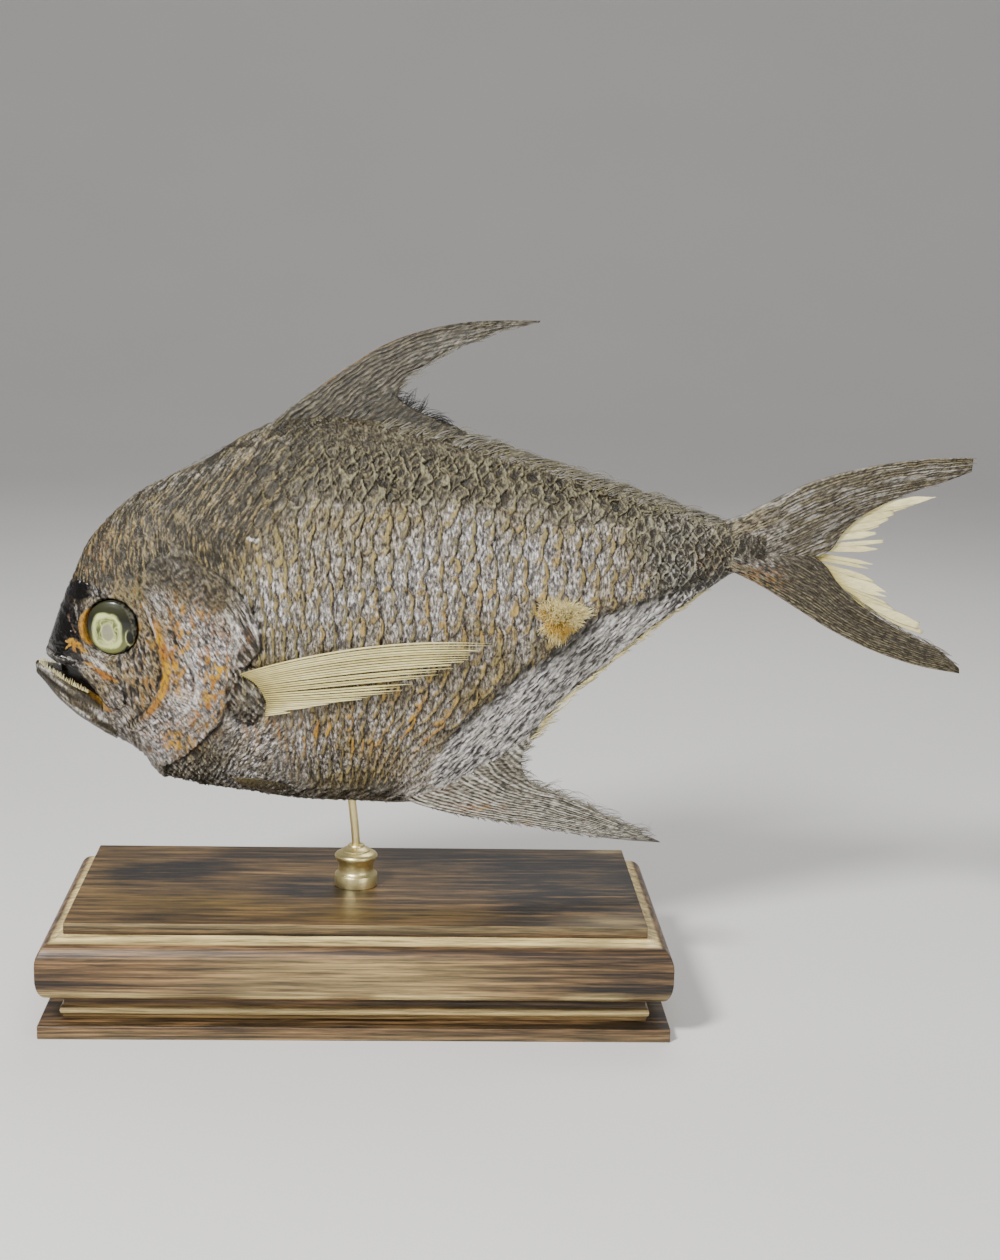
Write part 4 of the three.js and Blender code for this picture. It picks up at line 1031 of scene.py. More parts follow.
def tail_hue(x, z, u, s, rib, bead, streak):
    """Tan rays on dark skin, with the upper lobe paler than the lower one."""
    is_upper = z > 300
    root = smooth(0.3, 0.1, s)
    line = rib ** 1.4 * (0.65 + 0.35 * smooth(0.15, 0.5, bead))
    # Painted shade in the hollows between the raised rays
    between = (1 - rib) ** 1.1 * (1 - 0.7 * root) * (0.6 + 0.4 * streak)
    return fill_masks(
        x.shape, lean=z < 300, strand=0.1 + 0.9 * line, tint=bead, warm=0.5,
        gap=0.85 * between + 0.7 * root * smooth(0.45, 0.25, bead),
        silver=0.15 + 0.6 * root * (u > 0.4), dark=(0.5 - 0.4 * root) * (1 - line) + 0.14 * (z < 300),
        orange=blob(x, z, (262, 284, 13, 8, 0.9)) * smooth(0.5, 0.75, bead),
        pale=0.4 * smooth(0.03, 0, u) * streak + 0.5 * smooth(0.6, 0.78, streak) * is_upper * (1 - root))


def tapered_strips(name, starts, tips, widths, thickness, bow, material, tone, steps, around=8, sink=None):
    """Separate flat rays, each a closed strip from its start to its tip. Widths are (start, tip)
    for each, bow lifts its middle, sink gives y for a place on it, and tone gives its masks."""
    starts, tips, widths = (np.asarray(v, float) for v in (starts, tips, widths))
    count = len(starts)
    s = np.linspace(0, 1, steps)[None, :, None]
    heading = np.arctan2((tips - starts)[:, 2], (tips - starts)[:, 0])
    side = np.stack([-np.sin(heading), np.zeros(count), np.cos(heading)], -1)[:, None]
    centre = starts[:, None] + (tips - starts)[:, None] * s
    centre = centre + side * np.asarray(bow)[:, None, None] * 4 * s * (1 - s)
    if sink:
        centre[..., 1] = sink(centre[..., 0], centre[..., 2])
    half = 0.5 * (widths[:, :1, None] + (widths[:, 1:, None] - widths[:, :1, None]) * s ** 1.3)
    blunt = hashed(np.arange(count), 4, 71)[:, None, None]
    half = half * (1 - (0.3 + 0.65 * blunt) * smooth(0.74, 1, s))
    a = 2 * math.pi * np.arange(around) / around
    ring_side = np.cos(a)[None, None, :, None] * half[:, :, None]
    depth = thickness * (1 - 0.6 * s[:, :, None]) * np.sin(a)[None, None, :, None]
    points = centre[:, :, None] + side[:, None] * ring_side + depth * np.array([0, 1, 0])

    def flat(value):
        """One value for each vertex, with 0.5 at both hubs of a strip."""
        grid = np.broadcast_to(value, points.shape[:3]).reshape(count, -1)
        return np.concatenate([grid, np.full((count, 2), 0.5)], axis=1).ravel()

    tubes = [capped_tube(rings, np.zeros((steps, around, 1))) for rings in points]
    size = len(tubes[0][0])
    quads, fans = (np.concatenate([tube[k] + n * size for n, tube in enumerate(tubes)]) for k in (1, 2))
    random_tint = hashed(np.arange(count), 7, 61)[:, None, None]
    masks = fill_masks(count * size, **tone(flat(np.abs(np.cos(a))), flat(s), flat(random_tint)))
    new_piece(name, np.concatenate([tube[0] for tube in tubes]), quads, fans, masks, material)


def torn_tone(groove, fade, tint):
    """Masks of the tail's torn strips: cream, with painted shade at the root and along the thin sides."""
    return dict(edge=smooth(0.1, 0.6, fade) * (0.7 + 0.3 * tint), tint=0.6 + 0.4 * tint - 0.3 * (1 - fade),
                gap=0.7 * smooth(0.86, 1, groove) + 0.3 * smooth(0.3, 0.0, fade))


def blade_tone(groove, fade, tint):
    """Masks of a breast fin's rays: cream, with a golden root and painted shade in the slits between them."""
    root_shade = smooth(0.3, 0.0, fade)
    return dict(edge=(0.75 * (1 - groove) + 0.25 * tint) * (1 - 0.8 * root_shade),
                tint=0.5 + 0.5 * tint - 0.3 * root_shade,
                gap=0.65 * smooth(0.6, 0.97, groove) + 0.3 * smooth(0.1, 0, fade))


def leaf_tone(groove, fade, tint):
    """Masks of the small fins under the belly: brown skin, darker towards the tip, with painted shade along
    their sides.
    """
    return dict(edge=0.6 - 0.5 * groove, warm=0.4, dark=0.45 + 0.3 * fade, tint=tint, gap=0.8 * groove ** 2)


def hairs(name, starts, tips, curl, radius, material, tint, steps=6):
    """Fine tapering hairs from starts to tips. Curl bends each one's middle by that much, and tint
    holds its edge, gap and tint masks."""
    starts, tips, curl = (np.asarray(v, float) for v in (starts, tips, curl))
    count, around = len(starts), 4
    size = steps * around
    s = np.linspace(0, 1, steps)[None, :, None]
    heading = (tips - starts) / np.linalg.norm(tips - starts, axis=1, keepdims=True)
    side = np.cross(heading, (0.0, 1.0, 0.0))
    side /= np.maximum(np.linalg.norm(side, axis=1, keepdims=True), 1e-6)
    other = np.cross(heading, side)
    centre = starts[:, None] + (tips - starts)[:, None] * s + curl[:, None] * 4 * s * (1 - s)
    a = (2 * math.pi * np.arange(around) / around)[:, None]
    spread = np.asarray(radius)[:, None, None, None] * (1 - 0.85 * s[:, :, None])
    ring = np.cos(a) * side[:, None, None] + np.sin(a) * other[:, None, None]
    points = centre[:, :, None] + spread * ring
    rows, j = np.arange(steps - 1)[:, None] * around, np.arange(around)[None]
    k = (j + 1) % around
    walls = np.stack([rows + j, rows + k, rows + around + k, rows + around + j], -1).reshape(-1, 4)
    ends = np.array([[3, 2, 1, 0], [0, 1, 2, 3]]) + np.array([[0], [(steps - 1) * around]])
    quads = np.concatenate([walls, ends])[None] + (np.arange(count) * size)[:, None, None]
    edge, gap, shade = np.repeat(np.asarray(tint, float), size, axis=0).T
    masks = fill_masks(count * size, edge=edge, gap=gap, tint=shade)
    new_piece(name, points.reshape(-1, 3), quads.reshape(-1, 4), (), masks, material)


def random_tint(rng, count, *limits):
    """Edge, gap and tint masks of each hair, each mask spread between two limits."""
    return np.stack([rng.uniform(*pair, count) for pair in limits], -1)


def fray(rng, name, material, line, clumps, each, angle, reach, radius, depth=0, glow=(0.2, 0.9), curl=0.1,
         inward=2.0, wild=7):
    """Clumps of hairs from a line. Angles are in degrees from +X towards +Z. They and the hairs'
    lengths are read along the line."""
    count = clumps * each
    centre = (np.arange(clumps) + rng.uniform(0, 1, clumps)) / clumps
    t = np.clip(np.repeat(centre, each) + rng.normal(0, 0.35 / clumps, count), 0, 1)
    root, middle = on_line(line, t), np.repeat(on_line(line, centre), each, axis=0)
    heading = np.interp(centre, np.linspace(0, 1, len(angle)), angle) + rng.normal(0, wild, clumps)
    heading = np.radians(np.repeat(heading, each) + rng.normal(0, 3, count))
    length = np.interp(centre, np.linspace(0, 1, len(reach)), reach) * rng.uniform(0.35, 1.25, clumps)
    length = np.repeat(length, each) * rng.uniform(0.55, 1.05, count)
    zero = np.zeros(count)
    ahead = np.stack([np.cos(heading), zero, np.sin(heading)], -1)
    drop = rng.uniform(0, 1, count) ** 1.4 * depth
    start = np.stack([root[:, 0], zero, root[:, 1] - drop], -1) - ahead * inward
    tips = np.stack([middle[:, 0], zero, middle[:, 1] - 0.5 * drop], -1) + ahead * length[:, None]
    side = rng.choice((-1, 1), count)
    start[:, 1] = side * (half_thickness(start[:, 0], start[:, 2]) + rng.uniform(0.1, 0.7, count))
    tips[:, 1] = side * (half_thickness(tips[:, 0], tips[:, 2]) + 0.5) + rng.normal(0, 0.5, count)
    bend = np.stack([-np.sin(heading), zero, np.cos(heading)], -1)
    curls = bend * (length * (0.04 + rng.normal(0, curl, count)))[:, None]
    curls[:, 1] += side * 0.5
    tint = random_tint(rng, count, glow, (0, 0.35), (0.25, 1))
    hairs(name, start, tips, curls, rng.uniform(0.55, 1.2, count) * radius, material, tint)


# Settings

def colour(name, description, code):
    """A colour setting whose default is an sRGB hex code."""
    return FloatVectorProperty(name=name, description=description, subtype="COLOR", size=4, min=0, max=1,
                               default=srgb(code))


def number(name, description, default, unit, low, high):
    """A size in metres or a power in watts, with its limits."""
    return FloatProperty(name=name, description=description, default=default, unit=unit, min=low, max=high)


class SkinSettings(bpy.types.PropertyGroup):
    """Colours of the dried fish, and how dense its tuft is."""

    cell_dark: colour("Cell, dark", "Deep cells of the net on the back", "#2a261c")
    shade_brown: colour("Shade brown", "Creases of the browner skin", "#3f3425")
    shade_grey: colour("Shade grey", "Creases of the silvery skin", "#5a5552")
    cell_brown: colour("Cell brown", "Wrinkled skin inside a scale", "#8c7c5c")
    cell_grey: colour("Cell grey", "Wrinkled skin where it keeps its silver", "#a5a09e")
    # Painted highlight: the glints inside the cells
    cell_glint: colour("Cell silver", "Violet-grey glint inside a scale", "#edebef")
    strand_olive: colour("Strand, olive", "Thin edges of the scales on the back", "#888569")
    strand_tan: colour("Strand, tan", "Thin edges of the scales on the flank", "#a8986a")
    edge_olive: colour("Scale edge, olive", "Rear edges of the scales on the back", "#82794a")
    edge_bronze: colour("Scale edge, bronze", "Rear edges of the scales on the flank", "#a58a48")
    gap: colour("Gap", "Shadow behind each scale", "#15110e")
    orange: colour("Orange", "Stains on the cheek and gill cover", "#9c5e00")
    yellow: colour("Yellow", "Lighter middle of the stains", "#c69800")
    pale: colour("Pale", "Pale ridges and dashes", "#e9e5dc")
    black: colour("Black", "Snout, lips and mouth", "#0f0c0b")
    bronze_fibre: colour("Amber fibre", "Darker fibres of the tuft", "#e2bb48")
    straw_fibre: colour("Straw fibre", "Lighter fibres of the tuft", "#f6eab4")
    horn: colour("Fin horn", "Cream rays of the breast fins and torn tail", "#f6ebb2")
    horn_body: colour("Fin membrane", "Membrane between the cream rays", "#cfbc68")
    horn_shade: colour("Fin shade", "Slits between the cream rays", "#3a2d12")
    tuft_fibres: IntProperty(name="Tuft fibres", description="Number of fibres in the tuft", default=2200,
                             min=10, max=8000)


class EyeSettings(bpy.types.PropertyGroup):
    """Colours of the eyes."""

    ring: colour("Ring", "Dark ring round the disc", "#14140f")
    # Painted light: the olive lower part of the ring, lit through the clear glass
    olive: colour("Olive", "Clear lower part of the ring", "#7c8048")
    disc: colour("Disc", "Clouded disc", "#787e42")
    disc_shade: colour("Disc shade", "Thinner places of the disc", "#484d26")
    milk: colour("Milk", "Greyish middle of the disc", "#8d8872")
    rim: colour("Disc rim", "Pale rim of the disc", "#ccd28c")


class StandSettings(bpy.types.PropertyGroup):
    """Colours and sizes of the stand."""

    grain_dark: colour("Grain, dark", "Hard lines of the grain", "#3a281a")
    grain_light: colour("Grain, light", "Soft wood between the lines", "#a07c52")
    # Also tints the painted shade in the hollow at the foot of the fillet
    olive: colour("Olive stain", "Yellowed oil on the top", "#84682a")
    # Also the colour of the painted shade in the fillet's hollows
    soot_and_shade: colour("Soot", "Scorched places", "#1a1410")
    # Also the colour of the painted highlight on the bullnose's face
    sanded_and_lit: colour("Sanded wood", "Bare edges", "#f6dc98")
    brass: colour("Brass", "Clean brass", "#f7e8ae")
    brass_dull: colour("Brass, dull", "Smudged brass", "#dfcd8c")
    panel_length: number("Panel length", "Length of the base's top board", 0.37, "LENGTH", 0.3, 0.5)
    panel_depth: number("Panel depth", "Depth of the base's top board", 0.17, "LENGTH", 0.12, 0.3)
    rod_radius: number("Rod radius", "Radius of the brass rod", 0.0028, "LENGTH", 0.002, 0.0032)
    edge_softness: number("Edge softness", "Rounding of the boards' edges", 0.0008, "LENGTH", 0.0001, 0.003)


class StudioSettings(bpy.types.PropertyGroup):
    """Floor and light."""

    floor: colour("Floor", "Pale floor and backdrop", "#efedea")
    key_power: number("Key light", "Power of the main light", 46, "POWER", 0, 500)
    fill_power: number("Fill light", "Power of the fill light", 11, "POWER", 0, 500)
    rim_power: number("Rim light", "Power of the light from behind", 14, "POWER", 0, 500)
    seed: IntProperty(name="Seed", description="Start of the random spread of hairs", default=5, min=0)


# Operators

class POMFRET_OT_skin(bpy.types.Operator):
    """Builds the scaly skin of the head, flanks and tail stalk"""

    bl_idname = "pomfret.skin"
    bl_label = "Skin"

    def execute(self, context):
        material = skin_material(context.scene.pomfret_skin)
        parts = [spread_stations(start, end, step) for _, start, end, step in SKIN_PIECES]
        stations = np.concatenate([parts[0]] + [part[1:] for part in parts[1:]])
        half, z, run = flank_grid(stations)
        relief, masks = flank_surface(stations, half, z, run)
        mirror = [*range(SIDE_STEPS + 1), *range(SIDE_STEPS - 1, 0, -1)]
        side = np.where(np.arange(2 * SIDE_STEPS) <= SIDE_STEPS, -1, 1)
        x = np.broadcast_to(stations[:, None], (len(stations), 2 * SIDE_STEPS))
        smooth_skin = np.stack([x, side * half[:, mirror], z[:, mirror]], -1)
        points = smooth_skin + grid_normals(smooth_skin) * relief[:, mirror, None]
        points[:, [0, SIDE_STEPS], 1] = 0
        points[0, :, 0] = np.clip(points[0, :, 0], SNOUT_TIP, None)
        normals = grid_normals(points)
        layers = np.stack([mask[:, mirror] for mask in masks], -1)
        first = 0
        for (name, *_), part in zip(SKIN_PIECES, parts):
            last = first + len(part)
            facing = np.concatenate([normals[first:last].reshape(-1, 3), [(-1, 0, 0), (1, 0, 0)]])
            tube = capped_tube(points[first:last], layers[first:last])
            new_piece(name, *tube, material, normals=facing)
            first = last - 1
        return {"FINISHED"}


class POMFRET_OT_eyes(bpy.types.Operator):
    """Builds both eyes: a low clear dome over a clouded disc"""

    bl_idname = "pomfret.eyes"
    bl_label = "Eyes"

    def execute(self, context):
        material = eye_material(context.scene.pomfret_eye)
        profile = ((0.5, 2.8), (5.5, 2.5), (10.5, 1.7), (14.2, 0.6), (EYE_RADIUS, -0.6), (EYE_RADIUS, -4.5),
                   (14.4, -7), (0.5, -7))
        path = on_line(profile, np.linspace(0, 1, 90))
        r, h = path[:, :1], path[:, 1:]
        a = 2 * math.pi * np.arange(96) / 96
        ripple = 0.12 * noise(r * np.cos(a) / 4 + 9, r * np.sin(a) / 4 + 9, 71) * smooth(16, 12, r)
        across, up = r * np.cos(a), -r * np.sin(a) * EYE_TALL
        disc_gap = (np.abs((across + 2.4) / 10.4) ** 2.7 + np.abs((up + 2.2) / 12.4) ** 2.7) ** 0.37
        disc_gap = disc_gap + 0.06 * (noise(np.cos(a) * 3 + 5, np.sin(a) * 3 + 5, 72) - 0.5)
        disc = smooth(1.04, 0.94, disc_gap)
        swirl = noise(across / 3.2, up / 4.5, 74) - 0.5
        rim = 0.8 * bell((disc_gap - 0.84) / 0.1)
        # The second patch, at the disc's upper left, is a painted highlight
        rim = rim + blobs(across, up, ((-0.5, -9.5, 7, 2.6, 0.8), (-6.5, 8.5, 3, 2.6, 1)))
        rim = rim + 0.6 * bell((np.mod(3.4 * disc_gap + 1.6 * swirl, 1) - 0.5) / 0.1)
        core = np.hypot((across + 1.6 + 1.2 * swirl) / 4.2, (up + 2.4) / 6.4)
        milk = smooth(1.1, 0.8, core) * (0.75 + 0.25 * noise(across / 2, up / 2, 73))
        rim = rim * (1 - milk) + 0.5 * bell((core - 1) / 0.13)
        lid = smooth(0.97, 1.03, np.hypot((across + 1.4) / 14.9, up / 17.4))
        # Painted light: the lower part of the dark ring is lighter olive, lit through the clear glass
        olive = blobs(across, up, ((-1, -14.5, 11, 4, 1.1), (-10, -9, 5, 6, 0.6), (9.5, -9, 3.4, 6, 0.6)))
        olive = (olive + 0.12 * smooth(2, 15, up)) * (1 - lid)
        crust = 0.28 * lid * smooth(0.35, 0.7, noise(across / 0.9, up / 1.3, 75))
        # A hole at the lower right, painted dark as shade, with a painted highlight on one side of its rim
        hole_gap = np.hypot((across - 12.4) / 2.1, (up + 5.6) / 4.2)
        filled = 1 - smooth(1.1, 0.85, hole_gap)
        hole_glint = bell((hole_gap - 1.25) / 0.16) * smooth(4, -2, across - 12.4 + 0.5 * (up + 5.6))
        masks = fill_masks(
            across.shape, edge=(disc * (1 - lid) + crust) * filled + hole_glint,
            gap=rim * (1 - lid) * filled + hole_glint, tint=(milk + lid) * filled, strand=olive * filled,
            dark=np.maximum(lid, 0.8 * (1 - filled)))
        turn = Matrix.Rotation(-EYE_TURN, 3, "Z") @ Matrix.Rotation(EYE_TILT, 3, "X")
        lens = np.stack([across, -h - ripple, up], -1) @ np.array(turn).T
        lens = lens + np.multiply(EYE_CENTRE, (1, -1, 1))
        for side, node in ((-1, "eye_left"), (1, "eye_right")):
            tube = capped_tube(lens * (1, -side, 1), masks)
            new_piece(node + "_lens", *tube, material, node, "eye")
        return {"FINISHED"}


class POMFRET_OT_jaw(bpy.types.Operator):
    """Builds the jutting lower jaw and its small pointed teeth"""

    bl_idname = "pomfret.jaw"
    bl_label = "Jaw"

    def execute(self, context):
        skin = context.scene.pomfret_skin
        steep = np.linspace(0, 1, 110) ** 1.25
        x = (JAW_FRONT + (JAW_REAR - JAW_FRONT) * steep)[:, None]
        a = (2 * math.pi * (np.arange(96) + 0.5) / 96)[None]
        top, bottom, half = (along(line, x) for line in (JAW_TOP, JAW_BOTTOM, JAW_HALF))
        y, z = (np.sign(v) * np.abs(v) ** 0.7 for v in (np.cos(a), np.sin(a)))
        y, z = half * y, (top + bottom) / 2 + z * (top - bottom) / 2
        x = x + 0 * a
        low = (z - bottom) / (top - bottom)
        rim = smooth(0.62, 0.8, low + 0.12 * smooth(-190, -210, x))
        furrow = crinkle(x / 9, low * 9 + 0.8 * noise(x / 7, low, 81), 82)
        relief = 0.45 * furrow - 0.5 * bell((low - 0.62) / 0.05) + 0.5 * rim \
            + 0.35 * rim * crinkle(x / 1.6, low * 5, 83)
        relief = relief * smooth(JAW_REAR, JAW_REAR - 6, x)
        points = np.stack([x, y, z], -1)
        normals = grid_normals(points)
        outward = np.sign(np.einsum("ijk,ijk->", normals, points - points.mean((0, 1))))
        points = points + outward * normals * relief[..., None]
        side = np.abs(y) / half
        front = smooth(-188, -203, x)
        outer = smooth(0.25, 0.6, side)
        streak = noise(x / 12, low * 13 + 0.7 * noise(x / 7, low, 81), 84)
        stripe = outer * painted(x, z, JAW_STRIPE)
        pale = 0.5 * rim * front * smooth(0.5, 0.85, crinkle(x / 1.5, low * 6, 85)) \
            + 0.8 * outer * painted(x, z, JAW_GLINT) \
            + 0.45 * outer * bell((low - 0.2) / 0.03) * smooth(-200, -190, x) \
            + 0.5 * (1 - rim) * smooth(0.7, 0.85, streak)
        # Black: painted shade inside the mouth on the jaw's upper inner face and in the groove under its rim;
        # the jaw is also darker towards its bottom and its front
        black = 0.9 * smooth(0.86, 0.97, low) * smooth(0.85, 0.5, side) + 0.5 * bell((low - 0.6) / 0.06) \
            + 0.4 * smooth(0.3, 0.1, low) + 0.3 * front * (1 - rim)
        masks = fill_masks(
            x.shape, edge=0.15 * smooth(0.5, 0.7, streak), tint=noise(x / 4, low * 5, 86),
            silver=0.55 * smooth(0.5, 0.75, streak), dark=0.6 - 0.4 * smooth(0.55, 0.75, streak),
            gap=0.8 * smooth(0.5, 0.3, streak), orange=stripe, pale=pale,
            black=(1 - np.clip(stripe + pale, 0, 1)) * black)
        new_piece("lower_jaw", *capped_tube(points, masks), skin_material(skin))
        self.teeth(membrane_material("tooth_ivory", skin.horn, skin.horn, skin.horn_shade, 0.3))
        return {"FINISHED"}

    @staticmethod
    def teeth(material):
        """Two rows of pointed teeth on each side, the outer one leaning out."""
        rng = np.random.default_rng(17)
        starts, tips, radius = [], [], []
        for side in (-1, 1):
            for row, lean, count in ((0.9, 0.6, 36), (1.9, -0.3, 24)):
                at = np.linspace(JAW_FRONT + 1.5, -177, count) + rng.uniform(-0.3, 0.3, count)
                inset = along(JAW_HALF, at) * 0.93 - row
                root = along(JAW_TOP, at) - 0.9
                tall = (4.8 - 0.06 * (at + 212)) * rng.uniform(0.5, 1.2, count)
                tip = at + rng.uniform(-0.4, 1.1, count)
                starts += list(np.stack([at, side * inset, root], -1))
                tips += list(np.stack([tip, side * (inset + lean), root + tall], -1))
                radius += list(rng.uniform(0.3, 0.5, count))
        count = len(starts)
        tint = np.stack([np.ones(count), np.zeros(count), rng.uniform(0.5, 1, count)], -1)
        hairs("jaw_teeth", starts, tips, np.zeros((count, 3)), radius, material, tint, steps=4)


class POMFRET_OT_median_fins(bpy.types.Operator):
    """Builds the back fin, the belly fin and both lobes of the tail"""

    bl_idname = "pomfret.median_fins"
    bl_label = "Back, belly and tail fins"

    def execute(self, context):
        material = skin_material(context.scene.pomfret_skin, "dried_fin_skin", (-58, 90, 62))
        median_fin("back_fin", (
            (-72, 366), (-54, 385), (-32.3, 402), (-16.4, 413.5), (-6.2, 420.5), (3.9, 427.5),
            (18.5, 435), (40.8, 442.5), (65.6, 447.5), (90, 449), (111.5, 449.2)), (
            (84, 358), (66, 376), (50, 383), (34, 390), (21, 399), (25, 410.5), (38, 419.5),
            (53.8, 430), (68.5, 436), (87.5, 444), (110.5, 448)),
            (5.2, 0.7), 2.5, 0.2, back_fin_hue, (210, 150), material)
        median_fin("belly_fin", (
            (16, 139), (36, 129), (53, 124), (79.7, 119), (103, 115.5), (126.8, 112), (160.7, 106),
            (187.8, 103.5), (201.5, 103)), (
            (120, 184), (108.5, 167), (106.5, 156), (113, 143), (135, 134), (156, 124.5), (174, 115.5),
            (190, 108.5), (200.5, 104)),
            (6, 0.8), 2.0, 0.6, belly_fin_hue, (210, 150), material)
        median_fin("tail_lobe_upper", (
            (236, 321.5), (248, 326), (262, 333), (285, 345), (310, 354), (340, 361), (370, 365),
            (397.6, 366.2)), (
            (238, 298), (270, 299.3), (296, 299.3), (305, 303), (314, 315.5), (323, 324.5), (340, 335),
            (361, 344), (380, 350.5), (396.5, 357)),
            (10, 0.7), 1.8, 0.25, tail_hue, (120, 190), material)
        median_fin("tail_lobe_lower", (
            (236, 291.5), (248, 286), (262, 279), (285, 265), (310, 250), (340, 236), (370, 226.5),
            (397.4, 221.8)), (
            (238, 309), (270, 302.5), (294, 300.5), (304, 293), (311, 283.5), (322, 272.5), (340, 259.5),
            (360, 248), (383, 237.5), (396.5, 226)),
            (10, 0.7), 1.8, 0.25, tail_hue, (120, 190), material)
        return {"FINISHED"}


class POMFRET_OT_cream_fins(bpy.types.Operator):
    """Builds the torn cream strips of the tail, the breast fins and the belly leaves"""

    bl_idname = "pomfret.cream_fins"
    bl_label = "Cream rays"

    def execute(self, context):
        skin = context.scene.pomfret_skin
        horn = membrane_material("dried_fin_horn", skin.horn_body, skin.horn, skin.horn_shade, 0.42)
        rng = np.random.default_rng(context.scene.pomfret_studio.seed)
        groups = (
            ((324, 329.5), (298, 304), ((374, 340), (356, 333), (349.3, 329), (345, 323.6),
                                        (341.4, 317.6), (339.7, 311.5), (338.2, 304.8)), 11),
            ((303, 300), (302, 297), ((337.5, 294.5), (336.5, 291.5)), 2),
            ((304, 294), (312, 286), ((337, 283), (343, 277.5), (349.3, 273)), 4),
            ((314, 283), (325, 273), ((352, 262), (363, 256), (373.5, 249)), 4))
        starts, tips, widths = [], [], []
        for root_top, root_bottom, ends, count in groups:
            t = np.linspace(0, 1, count)
            tip, root = on_line(ends, t), on_line((root_top, root_bottom), t)
            tip[:, 0] += rng.uniform(-5, 2, count)
            spacing = math.dist(ends[0], ends[-1]) / (count - 1)
            starts += [(x - 10, 0, z - (1 if z > 300 else -1)) for x, z in root]
            tips += [(x, rng.uniform(-0.8, 0.8), z) for x, z in tip]
            widths += [(2.8, max(spacing, 2.8) * rng.uniform(0.7, 1.45)) for _ in range(count)]
        bow = rng.uniform(-1, 1, len(starts))
        tapered_strips("tail_strips", starts, tips, widths, 0.45, bow, horn, torn_tone, 24, around=20)

        ends = ((86, 245), (80, 241.5), (70, 236), (56, 228), (42, 221), (27, 214.5), (10, 209.5),
                (-8, 206.5), (-28, 203), (-45, 199))
        blades = ((0, 0.17, 9), (0.2, 0.33, 5), (0.4, 0.52, 4), (0.6, 0.7, 3), (0.8, 0.88, 2), (0.97, 1, 2))
        t = np.concatenate([np.linspace(*blade) for blade in blades])
        order = np.linspace(0, 1, len(t))
        tip = on_line(ends, t)
        tip[:, 0] += rng.uniform(-7, 1, len(t))
        root = on_line(((-77, 223.8), (-68.6, 218.8), (-63.6, 212.5), (-60.6, 205.2), (-61.5, 196.4)), order)
        starts, tips = ([(x, 0, z) for x, z in places] for places in (root, tip))
        bow = 8 * (1 - order) - 3 * np.sin(math.pi * order)
        widths = np.stack([np.full(len(t), 1.35), np.interp(order, (0, 0.4, 1), (1.5, 1.7, 1.1))], -1)
        for sign, side in ((-1, "left"), (1, "right")):
            def over_breast(x, z, sign=sign):
                return sign * (half_thickness(x, z) + 4.3 + 1.6 * smooth(-70, -20, x))

            tapered_strips("breast_fin_" + side, starts, tips, widths, 0.8, bow, horn, blade_tone, 30,
                           sink=over_breast)
        starts = [(-83 + 0.4 * k, 0, 149.5 - 0.5 * k) for k in range(9)]
        tips = [(-42 - 1.8 * abs(k - 3), 0, 144.5 - 0.5 * k) for k in range(9)]
        bow = [1.8 - 0.45 * k for k in range(9)]
        for sign, side in ((-1, "left"), (1, "right")):
            def over_belly(x, z, sign=sign):
                return sign * (half_thickness(x, z) + 0.6)

            tapered_strips("belly_leaf_" + side, starts, tips, [(1.2, 0.8)] * 9, 0.8, bow,
                           skin_material(skin), leaf_tone, 14, sink=over_belly)
        return {"FINISHED"}


